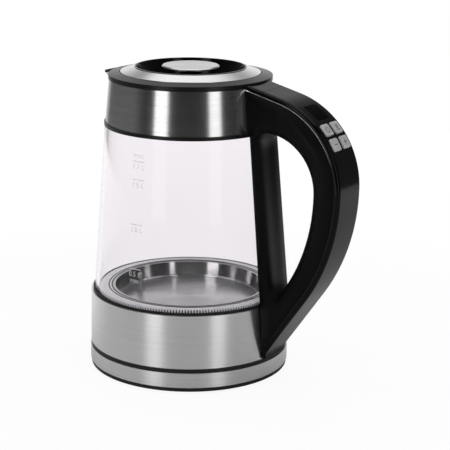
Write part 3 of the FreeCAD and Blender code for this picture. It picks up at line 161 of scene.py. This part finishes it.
# Printed signs on the buttons, with their parts in shares of the sign's reach
SIGN_THICKNESS = 0.03 * MM
SIGN_LIFT = 0.01 * MM
SIGN_STROKE = 0.6 * MM
SIGN_REACH = 2.2 * MM
SIGN_SPAN = 2.0
POWER_START = 125.0
POWER_SWEEP = 290.0
POWER_RISE = 0.8
STEAM_LENGTH = 1.5
STEAM_PITCH = 0.6
STEAM_RISE = 0.3
ARM_LENGTH = 0.8
ARM_PLACE = 0.6
ARC_STEPS = 24
FACES_OUT = 0.1
FACES_ALIKE = 0.9999


def new_material(name):
    """An empty material with one shader on its output."""
    material = bpy.data.materials.new(name)
    material.use_nodes = True
    tree = material.node_tree
    tree.nodes.clear()
    shader = tree.nodes.new("ShaderNodeBsdfPrincipled")
    output = tree.nodes.new("ShaderNodeOutputMaterial")
    tree.links.new(shader.outputs["BSDF"], output.inputs["Surface"])
    return material, tree, shader


def math_node(tree, operation, first, second=None):
    node = tree.nodes.new("ShaderNodeMath")
    node.operation = operation
    for socket, value in zip(node.inputs, (first, second)):
        if value is None:
            continue
        if isinstance(value, (int, float)):
            socket.default_value = value
        else:
            tree.links.new(value, socket)
    return node.outputs[0]


def split_vector(tree, vector):
    node = tree.nodes.new("ShaderNodeSeparateXYZ")
    tree.links.new(vector, node.inputs[0])
    return node.outputs


def noise(tree, vector, scale, detail):
    node = tree.nodes.new("ShaderNodeTexNoise")
    node.inputs["Scale"].default_value = scale
    node.inputs["Detail"].default_value = detail
    tree.links.new(vector, node.inputs["Vector"])
    return node.outputs["Fac"]


def ramp(tree, factor, stops):
    """A colour that runs through stops of (place, colour)."""
    node = tree.nodes.new("ShaderNodeValToRGB")
    elements = node.color_ramp.elements
    while len(elements) < len(stops):
        elements.new(0.5)
    for element, (place, colour) in zip(elements, stops):
        element.position = place
        element.color = (*colour, 1.0)
    tree.links.new(factor, node.inputs["Fac"])
    return node.outputs["Color"]


def spread(tree, factor, low, high, reach=(0.0, 1.0)):
    """Turn a factor within its reach into a value between two limits."""
    node = tree.nodes.new("ShaderNodeMapRange")
    node.inputs["From Min"].default_value = reach[0]
    node.inputs["From Max"].default_value = reach[1]
    node.inputs["To Min"].default_value = low
    node.inputs["To Max"].default_value = high
    tree.links.new(factor, node.inputs["Value"])
    return node.outputs["Result"]


def uneven(tree, factor, value, stray):
    """A value that strays to both sides by a share of itself."""
    return spread(tree, factor, value * (1.0 - stray), value * (1.0 + stray))


def scaled(colour, share):
    return tuple(min(part * share, 1.0) for part in colour)


def two_tones(tree, factor, first, second, places=TONE_STOPS):
    return ramp(tree, factor, tuple(zip(places, (first, second))))


def bump(tree, shader, height, distance, strength, normal=None):
    node = tree.nodes.new("ShaderNodeBump")
    node.inputs["Strength"].default_value = strength
    node.inputs["Distance"].default_value = distance
    tree.links.new(height, node.inputs["Height"])
    if normal is not None:
        tree.links.new(normal, node.inputs["Normal"])
    tree.links.new(node.outputs["Normal"], shader.inputs["Normal"])


def object_place(tree):
    return tree.nodes.new("ShaderNodeTexCoord").outputs["Object"]


def round_place(tree, along, across):
    """A texture place that runs slowly round the kettle's axis and fast across it."""
    x, y, z = split_vector(tree, object_place(tree))
    angle = math_node(tree, "ARCTAN2", y, x)
    square = math_node(tree, "ADD", math_node(tree, "MULTIPLY", x, x), math_node(tree, "MULTIPLY", y, y))
    radius = math_node(tree, "SQRT", square)
    join = tree.nodes.new("ShaderNodeCombineXYZ")
    tree.links.new(math_node(tree, "MULTIPLY", angle, along), join.inputs[0])
    tree.links.new(math_node(tree, "MULTIPLY", radius, across), join.inputs[1])
    tree.links.new(math_node(tree, "MULTIPLY", z, across), join.inputs[2])
    return join.outputs[0]


def lying_share(tree):
    """1 on faces that lie flat, 0 on upright ones."""
    facing = tree.nodes.new("ShaderNodeNewGeometry").outputs["True Normal"]
    rise = math_node(tree, "ABSOLUTE", split_vector(tree, facing)["Z"])
    return math_node(tree, "GREATER_THAN", rise, LYING)


def brushed_steel(name, grey, roughness, anisotropy, upright=None):
    """Steel brushed round the kettle's axis: fine streaks in tone and roughness, and stretched gloss."""
    material, tree, shader = new_material(name)
    lines = noise(tree, round_place(tree, BRUSH_ALONG, BRUSH_ACROSS), 1.0, BRUSH_DETAIL)
    tone = two_tones(tree, lines, (grey - BRUSH_STREAK,) * 3, (grey + BRUSH_STREAK,) * 3)
    tree.links.new(tone, shader.inputs["Base Color"])
    rough = uneven(tree, lines, roughness, ROUGHNESS_STRAY)
    if upright is not None:
        share = spread(tree, lying_share(tree), upright / roughness, 1.0)
        rough = math_node(tree, "MULTIPLY", rough, share)
    tree.links.new(rough, shader.inputs["Roughness"])
    shader.inputs["Metallic"].default_value = 1.0
    shader.inputs["Anisotropic"].default_value = anisotropy
    shader.inputs["Anisotropic Rotation"].default_value = BRUSH_TURN
    tangent = tree.nodes.new("ShaderNodeTangent")
    tangent.direction_type = "RADIAL"
    tangent.axis = "Z"
    tree.links.new(tangent.outputs["Tangent"], shader.inputs["Tangent"])
    bump(tree, shader, lines, BRUSH_DEPTH, BRUSH_STRENGTH)
    return material


def plain_metal(name, colour, roughness):
    """Turned or stamped metal with a slight mottle."""
    material, tree, shader = new_material(name)
    mottle = noise(tree, object_place(tree), MOTTLE_SCALE, MOTTLE_DETAIL)
    tone = two_tones(tree, mottle, scaled(colour, MOTTLE_DARK), colour, MOTTLE_STOPS)
    tree.links.new(tone, shader.inputs["Base Color"])
    tree.links.new(uneven(tree, mottle, roughness, ROUGHNESS_STRAY), shader.inputs["Roughness"])
    shader.inputs["Metallic"].default_value = 1.0
    return material


def highlight_painted_metal(name, dark, bright, roughness, reach):
    """A thin metal line with a painted highlight: its colour goes from dark to bright between two heights.
    """
    material, tree, shader = new_material(name)
    place = object_place(tree)
    rise = spread(tree, split_vector(tree, place)["Z"], 0.0, 1.0, reach)
    tree.links.new(two_tones(tree, rise, dark, bright, (0.0, 1.0)), shader.inputs["Base Color"])
    mottle = noise(tree, place, MOTTLE_SCALE, MOTTLE_DETAIL)
    tree.links.new(uneven(tree, mottle, roughness, ROUGHNESS_STRAY), shader.inputs["Roughness"])
    shader.inputs["Metallic"].default_value = 1.0
    return material


def plastic(name, colour, roughness, grain=0.0, edge=0.0, shine=0.5, cover=1.0):
    """Moulded plastic: a fine grain, a slightly uneven gloss, and softened edges."""
    material, tree, shader = new_material(name)
    shader.inputs["Specular IOR Level"].default_value = shine
    shader.inputs["Alpha"].default_value = cover
    place = object_place(tree)
    cloud = noise(tree, place, CLOUD_SCALE, CLOUD_DETAIL)
    tree.links.new(two_tones(tree, cloud, colour, scaled(colour, CLOUD_PALE)), shader.inputs["Base Color"])
    tree.links.new(uneven(tree, cloud, roughness, PLASTIC_STRAY), shader.inputs["Roughness"])
    normal = None
    if edge:
        soft = tree.nodes.new("ShaderNodeBevel")
        soft.samples = EDGE_SAMPLES
        soft.inputs["Radius"].default_value = edge
        normal = soft.outputs["Normal"]
    fine = noise(tree, place, GRAIN_SCALE, GRAIN_DETAIL)
    bump(tree, shader, fine, max(grain, GRAIN_LEAST), GRAIN_STRENGTH, normal)
    return material


def clear(name, tint, ior, roughness):
    """Clear glass or plastic with a faint, uneven surface."""
    material, tree, shader = new_material(name)
    wave = noise(tree, object_place(tree), WAVE_SCALE, WAVE_DETAIL)
    tree.links.new(two_tones(tree, wave, tint, scaled(tint, WAVE_PALE)), shader.inputs["Base Color"])
    shader.inputs["Roughness"].default_value = roughness
    shader.inputs["IOR"].default_value = ior
    shader.inputs["Transmission Weight"].default_value = 1.0
    bump(tree, shader, wave, WAVE_DEPTH, WAVE_STRENGTH)
    return material


def frosted(name, tint, through, roughness):
    """Cloudy clear plastic that passes some light and scatters the rest."""
    material, tree, shader = new_material(name)
    cloud = noise(tree, object_place(tree), FROST_SCALE, FROST_DETAIL)
    tree.links.new(two_tones(tree, cloud, scaled(tint, FROST_DARK), tint), shader.inputs["Base Color"])
    tree.links.new(uneven(tree, cloud, roughness, ROUGHNESS_STRAY), shader.inputs["Roughness"])
    shader.inputs["Transmission Weight"].default_value = through
    return material


def make_materials():
    buttons_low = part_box("button_lower_left")[0][2]
    buttons_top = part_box("button_upper_left")[1][2]
    return {
        "brushed": brushed_steel("brushed_steel_band", grey=0.74, roughness=0.3, anisotropy=0.88),
        "collar": brushed_steel("brushed_steel_collar", grey=0.44, roughness=0.2, anisotropy=0.6),
        "pan": brushed_steel("brushed_steel_pan", grey=0.55, roughness=0.24, anisotropy=0.9, upright=0.16),
        "lid_steel": brushed_steel("brushed_steel_lid", grey=0.72, roughness=0.3, anisotropy=0.8),
        "knob_steel": brushed_steel("brushed_steel_knob", grey=0.58, roughness=0.3, anisotropy=0.4),
        "aluminium": plain_metal("spreader_aluminium", (0.6, 0.6, 0.61), roughness=0.45),
        "brass": plain_metal("contact_brass", (0.6, 0.43, 0.18), roughness=0.25),
        "screw": plain_metal("screw_steel", (0.55, 0.55, 0.56), roughness=0.25),
        # The pressed ring is the pan's steel made brighter and glossier: a painted highlight on a real
        # shape.
        "ridge": plain_metal("ridge_painted_highlight_steel", (0.85, 0.85, 0.86), roughness=0.15),
        # The seam's trim carries a painted highlight: bright near the buttons, dark lower down.
        "trim": highlight_painted_metal("trim_chrome", dark=(0.03, 0.03, 0.031), bright=(0.7, 0.7, 0.71), roughness=0.2,
                             reach=(buttons_low - TRIM_HIGHLIGHT_FADE, buttons_top)),
        "satin": plastic("satin_black_plastic", (0.001, 0.001, 0.0011), roughness=0.3, grain=0.004 * MM,
                         edge=15.0 * MM, shine=0.11),
        "gloss": plastic("gloss_black_plastic", (0.002, 0.002, 0.0022), roughness=0.14, edge=0.25 * MM,
                         shine=0.12),
        "rim": plastic("rim_plastic", (0.006, 0.006, 0.0065), roughness=0.3, grain=0.004 * MM,
                       edge=0.3 * MM, shine=0.22),
        "dark": plastic("dark_plastic", (0.008, 0.008, 0.0085), roughness=0.4, grain=0.006 * MM,
                        edge=0.2 * MM, shine=0.3),
        "rubber": plastic("seal_rubber", (0.01, 0.01, 0.01), roughness=0.55, grain=0.01 * MM, shine=0.25),
        "window": plastic("window_plastic", (0.001, 0.001, 0.0012), roughness=0.05, shine=0.03),
        "button": plastic("button_silver", (0.52, 0.52, 0.53), roughness=0.3, grain=0.004 * MM,
                          edge=0.4 * MM),
        "board": plastic("board_green", (0.02, 0.12, 0.05), roughness=0.3),
        "print": plastic("mark_print", (0.85, 0.85, 0.86), roughness=0.5, cover=0.42),
        "symbol": plastic("button_print", (0.06, 0.06, 0.06), roughness=0.5),
        "glass": clear("clear_glass", (0.93, 0.91, 0.93), ior=1.18, roughness=0.0),
        "ring": frosted("frosted_ring", (0.86, 0.86, 0.87), through=0.35, roughness=0.3),
    }


LOOKS = {
    "brushed": ("base_band", "lower_band"),
    "collar": ("collar",),
    "pan": ("heater_pan", "temperature_probe", "spout_filter"),
    "lid_steel": ("lid_ring",),
    "knob_steel": ("knob_cap",),
    "aluminium": ("heat_spreader", "heating_element"),
    "brass": ("socket_contacts", "plug_contacts"),
    "screw": ("base_screws", "bottom_screws", "lid_screws", "handle_screws"),
    "trim": ("grip_trim",),
    "satin": ("handle_body",),
    "gloss": ("handle_cover", "neck_cover", "lid_dish", "knob_stem", "base_socket", "kettle_plug"),
    "rim": ("top_rim", "neck_liner", "lid_plug"),
    "dark": ("base_pan", "base_cover", "bottom_cover", "cord_gland", "relay", "thermal_cutout",
             "tact_switches", "display_block", "handle_cable"),
    "rubber": ("foot_ring", "pan_seal", "lid_seal"),
    "window": ("display_window",),
    "button": ("button_upper_left", "button_upper_right", "button_lower_left", "button_lower_right"),
    "board": ("power_board", "control_board"),
    "glass": ("glass_body",),
    "ring": ("light_ring",),
}


def dress(materials):
    """Give every solid its material. Clear pieces cast no shadow."""
    for look, names in LOOKS.items():
        for name in names:
            mesh = nodes[name].data
            mesh.materials.clear()
            mesh.materials.append(materials[look])
    nodes["glass_body"].visible_shadow = False
    nodes["light_ring"].visible_shadow = False


def add_piece(name, mesh, material, body):
    piece = bpy.data.objects.new(name, mesh)
    bpy.context.collection.objects.link(piece)
    mesh.materials.clear()
    mesh.materials.append(material)
    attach(piece, body)
    return piece


def finished_mesh(name, build):
    bmesh.ops.recalc_face_normals(build, faces=build.faces)
    mesh = bpy.data.meshes.new(name)
    build.to_mesh(mesh)
    build.free()
    return mesh


def thicken(build, faces, thickness):
    """Raise flat faces into a thin solid: a top over each of them, and walls along their outer sides."""
    raised = {}
    sides = []
    for face in faces:
        for loop in face.loops:
            if loop.vert not in raised:
                raised[loop.vert] = build.verts.new(loop.vert.co + Vector((0.0, 0.0, thickness)))
            if loop.edge.is_boundary:
                sides.append((loop.vert, loop.link_loop_next.vert))
    for face in faces:
        build.faces.new([raised[vertex] for vertex in face.verts])
    for start, end in sides:
        build.faces.new((start, end, raised[end], raised[start]))


def ring_mesh(name, sections):
    """A closed ring round the axis, from one section of (radius, height) corners at each turn."""
    build = bmesh.new()
    loops = []
    for turn, section in sections:
        loops.append([build.verts.new((r * math.cos(turn), r * math.sin(turn), z)) for r, z in section])
    for k, loop in enumerate(loops):
        following = loops[(k + 1) % len(loops)]
        for j in range(len(loop)):
            i = (j + 1) % len(loop)
            build.faces.new((loop[j], following[j], following[i], loop[i]))
    return finished_mesh(name, build)


def toothed_ring(clear_look, seal_and_shade_look):
    """The frosted ring round the pan: teeth round its outer edge, a dark band of painted shade in their
    gaps, seal lips.
    """
    low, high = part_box("light_ring")
    outer = high[0]
    inner = min(math.hypot(v.co.x, v.co.y) for v in nodes["light_ring"].data.vertices)
    foot = high[2] - TOOTH_HEIGHT
    back = outer - TOOTH_DEPTH
    pitch = 2.0 * math.pi / RING_TEETH
    teeth = []
    gaps = []
    for k in range(RING_TEETH):
        for share, deep in ((0.0, False), (TOOTH_SHARE, False), (TOOTH_SHARE + TOOTH_FLANK, True),
                            (1.0 - TOOTH_FLANK, True)):
            turn = pitch * (k + share)
            edge = back if deep else outer
            teeth.append((turn, ((inner, low[2]), (outer, low[2]), (outer, foot), (edge, foot),
                                 (edge, high[2]), (inner, high[2]))))
            fill = outer - GAP_INSET if deep else back + GAP_SLIVER
            # A dark band behind the teeth stands in for the shade seen between them: painted shade.
            gaps.append((turn, ((back, foot), (fill, foot), (fill, foot + GAP_SHADE_HEIGHT),
                                (back, foot + GAP_SHADE_HEIGHT))))
    ring = add_piece("toothed_ring", ring_mesh("toothed_ring", teeth), clear_look, "kettle")
    ring.visible_shadow = False
    gap_shade = add_piece("tooth_gap_shade", ring_mesh("tooth_gap_shade", gaps), seal_and_shade_look, "kettle")
    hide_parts("light_ring")
    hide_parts("light_ring")
    for k, place in enumerate(LIP_PLACES):
        lip = lip_mesh(f"seal_lip_{k}", inner + place, high[2], LIP_RADIUS)
        add_piece(f"seal_lip_{k}", lip, seal_and_shade_look, "kettle")


def lip_mesh(name, radius, level, thickness):
    """A thin round lip on a flat face."""
    corners = [2.0 * math.pi * k / LIP_CORNERS for k in range(LIP_CORNERS)]
    section = [(radius + thickness * math.cos(a), level + thickness * math.sin(a)) for a in corners]
    mesh = ring_mesh(name, [(2.0 * math.pi * k / LIP_TURNS, section) for k in range(LIP_TURNS)])
    for face in mesh.polygons:
        face.use_smooth = True
    return mesh


def pan_ridge(material):
    """The low ring pressed round the edge of the pan's floor. Its steel is brighter than the pan's: a
    painted highlight on a real shape.
    """
    pan = nodes["heater_pan"].data
    flats = [face for face in pan.polygons if face.normal.z > FLAT]
    floor = min(face.center.z for face in flats)
    lowest = [face for face in flats if face.center.z < floor + RIDGE_RADIUS]
    corners = [pan.vertices[k].co for face in lowest for k in face.vertices]
    edge = max(math.hypot(corner.x, corner.y) for corner in corners)
    ridge = lip_mesh("pan_ridge", edge - RIDGE_INSET, floor, RIDGE_RADIUS)
    add_piece("pan_ridge", ridge, material, "kettle")


def text_mesh(name, text, height):
    """Flat letters as a thin solid, centred on the origin."""
    curve = bpy.data.curves.new(name, "FONT")
    curve.body = text
    curve.size = height
    curve.align_x = "CENTER"
    curve.align_y = "CENTER"
    curve.extrude = LETTER_HALF_THICKNESS
    curve.resolution_u = LETTER_STEPS
    letters = bpy.data.objects.new(name, curve)
    bpy.context.collection.objects.link(letters)
    bpy.context.view_layer.update()
    mesh = bpy.data.meshes.new_from_object(letters.evaluated_get(bpy.context.evaluated_depsgraph_get()))
    bpy.data.objects.remove(letters)
    mesh.name = name
    return mesh


def line_mesh(name):
    """A thin line along x, centred on the origin."""
    build = bmesh.new()
    bmesh.ops.create_grid(build, x_segments=LINE_PARTS, y_segments=1, size=0.5)
    for vertex in build.verts:
        vertex.co.x *= LINE_LENGTH
        vertex.co.y *= LINE_WIDTH
    thicken(build, build.faces[:], LINE_THICKNESS)
    return finished_mesh(name, build)


def wrap_on_glass(mesh, level):
    """Bend a flat mark round the glass, at a level, on its marked side."""
    low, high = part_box("glass_body")
    vertices = nodes["glass_body"].data.vertices
    top = max(math.hypot(v.co.x, v.co.y) for v in vertices if v.co.z > high[2] - MM)
    bottom = high[0]
    for vertex in mesh.vertices:
        z = level + vertex.co.y
        radius = bottom + (top - bottom) * (z - low[2]) / (high[2] - low[2])
        turn = MARK_TURN + vertex.co.x / radius
        radius += MARK_LIFT + vertex.co.z
        vertex.co = (radius * math.cos(turn), radius * math.sin(turn), z)


def add_mark(name, mesh, level, material):
    wrap_on_glass(mesh, level)
    add_piece(name, mesh, material, "kettle")


def mark_level(litres):
    return FIRST_LEVEL + (litres - MARK_LITRES[0]) * LEVEL_PER_LITRE


def level_marks(material):
    """Litre marks on the glass: a short line and a number each, and a word at the lowest and the highest."""
    for litres in MARK_LITRES:
        level = mark_level(litres)
        name = f"mark_{litres:.1f}".replace(".", "_")
        add_mark(f"{name}_line", line_mesh(f"{name}_line"), level, material)
        number = text_mesh(f"{name}_number", f"{litres:.1f} L", LETTER_HEIGHT)
        add_mark(f"{name}_number", number, level - LETTER_HEIGHT * NUMBER_DROP, material)
    words = {
        "MIN": mark_level(MARK_LITRES[0]) - LETTER_HEIGHT * LOWEST_WORD_DROP,
        "MAX": mark_level(MARK_LITRES[-1]) + LETTER_HEIGHT * HIGHEST_WORD_RISE,
    }
    for word, level in words.items():
        name = f"mark_{word.lower()}"
        add_mark(name, text_mesh(name, word, LETTER_HEIGHT * WORD_SCALE), level, material)


def outline_mesh(name, shapes, thickness):
    """Thin solids from flat closed outlines."""
    build = bmesh.new()
    for shape in shapes:
        face = build.faces.new([build.verts.new((u, v, 0.0)) for u, v in shape])
        thicken(build, [face], thickness)
    return finished_mesh(name, build)


def bar_outline(length, width, u=0.0, v=0.0):
    return [(u - length / 2, v - width / 2), (u + length / 2, v - width / 2),
            (u + length / 2, v + width / 2), (u - length / 2, v + width / 2)]


def arc_outline(radius, width, start, sweep):
    """A bent bar: part of a ring, angles in degrees."""
    angles = [math.radians(start + sweep * k / ARC_STEPS) for k in range(ARC_STEPS + 1)]
    far = radius + width / 2
    near = radius - width / 2
    outside = [(math.cos(a) * far, math.sin(a) * far) for a in angles]
    inside = [(math.cos(a) * near, math.sin(a) * near) for a in reversed(angles)]
    return outside + inside


def sign_shapes():
    """A plain sign for each button: on and off, keep warm, less and more."""
    ring = arc_outline(SIGN_REACH, SIGN_STROKE, POWER_START, POWER_SWEEP)
    ring_bar = bar_outline(SIGN_STROKE, SIGN_REACH, 0.0, SIGN_REACH * POWER_RISE)
    steam = [bar_outline(SIGN_STROKE, SIGN_REACH * STEAM_LENGTH, SIGN_REACH * k * STEAM_PITCH,
                         SIGN_REACH * STEAM_RISE) for k in (-1, 0, 1)]
    plate = bar_outline(SIGN_REACH * SIGN_SPAN, SIGN_STROKE, 0.0, -SIGN_REACH)
    dash = bar_outline(SIGN_REACH * SIGN_SPAN, SIGN_STROKE)
    arms = [bar_outline(SIGN_STROKE, SIGN_REACH * ARM_LENGTH, 0.0, side * SIGN_REACH * ARM_PLACE)
            for side in (1, -1)]
    return {
        "button_upper_left": [ring, ring_bar],
        "button_upper_right": steam + [plate],
        "button_lower_left": [dash],
        "button_lower_right": [dash] + arms,
    }


def button_symbols(material):
    """Print each button's sign on its rounded face."""
    for name, shapes in sign_shapes().items():
        solid = nodes[name].data
        faces = solid.polygons
        outward = [face for face in faces if face.normal.x > FACES_OUT and face.normal.z > FACES_OUT]
        out = max(outward, key=lambda face: face.area).normal
        top = [face for face in faces if face.normal.dot(out) > FACES_ALIKE]
        centre = sum((face.center * face.area for face in top), Vector()) / sum(face.area for face in top)
        across = Vector((0.0, 1.0, 0.0))
        frame_of_face = Matrix((across, out.cross(across), out)).transposed().to_4x4()
        mesh = outline_mesh(f"sign_{name}", shapes, SIGN_THICKNESS)
        heights = [vertex.co.z for vertex in mesh.vertices]
        mesh.transform(Matrix.Translation(centre) @ frame_of_face)
        surface = BVHTree.FromPolygons([v.co for v in solid.vertices], [f.vertices for f in faces])
        for vertex, height in zip(mesh.vertices, heights):
            spot = surface.ray_cast(vertex.co + out * SIGN_REACH, -out)[0]
            vertex.co = spot + out * (height + SIGN_LIFT)
        add_piece(f"sign_{name}", mesh, material, name)


def backdrop_share(tree, place, reach):
    """How far a place or direction lies behind the kettle, from 0 to 1."""
    facing = tree.nodes.new("ShaderNodeVectorMath")
    facing.operation = "DOT_PRODUCT"
    facing.inputs[1].default_value = AWAY
    tree.links.new(place, facing.inputs[0])
    return spread(tree, facing.outputs["Value"], 0.0, 1.0, reach)


def background_seen(tree, behind):
    """1 for rays from the camera, straight or through glass, and the backdrop's share in mirrors."""
    path = tree.nodes.new("ShaderNodeLightPath").outputs
    mirrored = math_node(tree, "GREATER_THAN", path["Glossy Depth"], MIRRORED)
    through = math_node(tree, "SUBTRACT", path["Is Transmission Ray"], mirrored)
    through = math_node(tree, "MAXIMUM", through, 0.0)
    direct = math_node(tree, "MAXIMUM", path["Is Camera Ray"], through)
    in_mirror = math_node(tree, "MULTIPLY", path["Is Glossy Ray"], behind)
    return math_node(tree, "MAXIMUM", direct, in_mirror)


def mix_shaders(tree, share, first, second, output):
    mix = tree.nodes.new("ShaderNodeMixShader")
    tree.links.new(share, mix.inputs["Fac"])
    tree.links.new(first, mix.inputs[1])
    tree.links.new(second, mix.inputs[2])
    tree.links.new(mix.outputs["Shader"], output.inputs["Surface"])


def stage_floor():
    """A white floor that stays white to the camera and keeps a soft shadow under the kettle."""
    bpy.ops.mesh.primitive_circle_add(vertices=FLOOR_CORNERS, radius=FLOOR_RADIUS, fill_type="NGON",
                                      location=(0.0, 0.0, -FLOOR_DROP))
    floor = bpy.context.object
    floor.name = "floor"
    material, tree, shader = new_material("floor_white")
    shader.inputs["Base Color"].default_value = (FLOOR_GREY, FLOOR_GREY, FLOOR_GREY, 1.0)
    shader.inputs["Roughness"].default_value = FLOOR_ROUGHNESS
    shader.inputs["Specular IOR Level"].default_value = 0.0
    glow = tree.nodes.new("ShaderNodeEmission")
    glow.inputs["Strength"].default_value = FLOOR_GLOW
    distance = tree.nodes.new("ShaderNodeVectorMath")
    distance.operation = "LENGTH"
    tree.links.new(object_place(tree), distance.inputs[0])
    white = spread(tree, distance.outputs["Value"], *FLOOR_WHITE, FLOOR_WHITE_REACH)
    behind = backdrop_share(tree, object_place(tree), FLOOR_MIRROR_REACH)
    share = math_node(tree, "MULTIPLY", background_seen(tree, behind), white)
    output = next(node for node in tree.nodes if node.type == "OUTPUT_MATERIAL")
    mix_shaders(tree, share, shader.outputs["BSDF"], glow.outputs["Emission"], output)
    floor.data.materials.append(material)


def studio_world():
    """White behind the kettle; for light and reflections a studio that is dark on the camera's side."""
    world = bpy.data.worlds.new("studio")
    bpy.context.scene.world = world
    world.use_nodes = True
    tree = world.node_tree
    tree.nodes.clear()
    output = tree.nodes.new("ShaderNodeOutputWorld")
    room = tree.nodes.new("ShaderNodeBackground")
    white = tree.nodes.new("ShaderNodeBackground")
    white.inputs["Color"].default_value = (1.0, 1.0, 1.0, 1.0)
    direction = tree.nodes.new("ShaderNodeTexCoord").outputs["Generated"]
    depth = backdrop_share(tree, direction, (-1.0, 1.0))
    behind = backdrop_share(tree, direction, BACKDROP_REACH)
    tones = tuple((place, (tone,) * 3) for place, tone in ROOM_TONES)
    tree.links.new(ramp(tree, depth, tones), room.inputs["Color"])
    share = background_seen(tree, behind)
    mix_shaders(tree, share, room.outputs["Background"], white.outputs["Background"], output)


def softbox(name, width, tall, glow, place):
    """A soft light of a given size at a place. Its glow is its brightness as a colour."""
    lamp = bpy.data.lights.new(name, "AREA")
    lamp.shape = "RECTANGLE"
    lamp.size = width
    lamp.size_y = tall
    lamp.energy = glow * math.pi * width * tall
    light = bpy.data.objects.new(name, lamp)
    bpy.context.collection.objects.link(light)
    light.location = place
    return light


def studio_lights():
    centre = Vector((0.0, 0.0, STRIP_LEVEL))
    for name, (turn, width, glow) in STRIPS.items():
        angle = math.radians(turn)
        side = RIGHT * math.sin(angle) - AWAY * math.cos(angle)
        strip = softbox(name, width, STRIP_HEIGHT, glow, side * STRIP_DISTANCE + centre)
        strip.rotation_euler = (centre - strip.location).to_track_quat("-Z", "Y").to_euler()
    place = AWAY * TOP_BOX_BACK + Vector((0.0, 0.0, TOP_BOX_LEVEL))
    softbox("top_box", TOP_BOX_SIZE, TOP_BOX_SIZE, TOP_BOX_GLOW, place)


def make_camera():
    camera_data = bpy.data.cameras.new("camera")
    camera_data.lens = LENS
    camera_data.sensor_width = SENSOR
    camera = bpy.data.objects.new("camera", camera_data)
    bpy.context.collection.objects.link(camera)
    camera.location = RIGHT * CAMERA_RIGHT - AWAY * CAMERA_BACK + Vector((0.0, 0.0, CAMERA_HEIGHT))
    forward = AWAY * math.cos(CAMERA_PITCH) - Vector((0.0, 0.0, math.sin(CAMERA_PITCH)))
    level = forward.to_track_quat("-Z", "Y").to_matrix().to_4x4()
    turned = level @ Matrix.Rotation(CAMERA_ROLL, 4, "Z")
    camera.rotation_euler = turned.to_euler()
    bpy.context.scene.camera = camera


materials = make_materials()
dress(materials)
toothed_ring(materials["ring"], materials["rubber"])
pan_ridge(materials["ridge"])
level_marks(materials["print"])
button_symbols(materials["symbol"])
stage_floor()
studio_world()
studio_lights()
make_camera()
bpy.context.scene.view_settings.view_transform = "Standard"
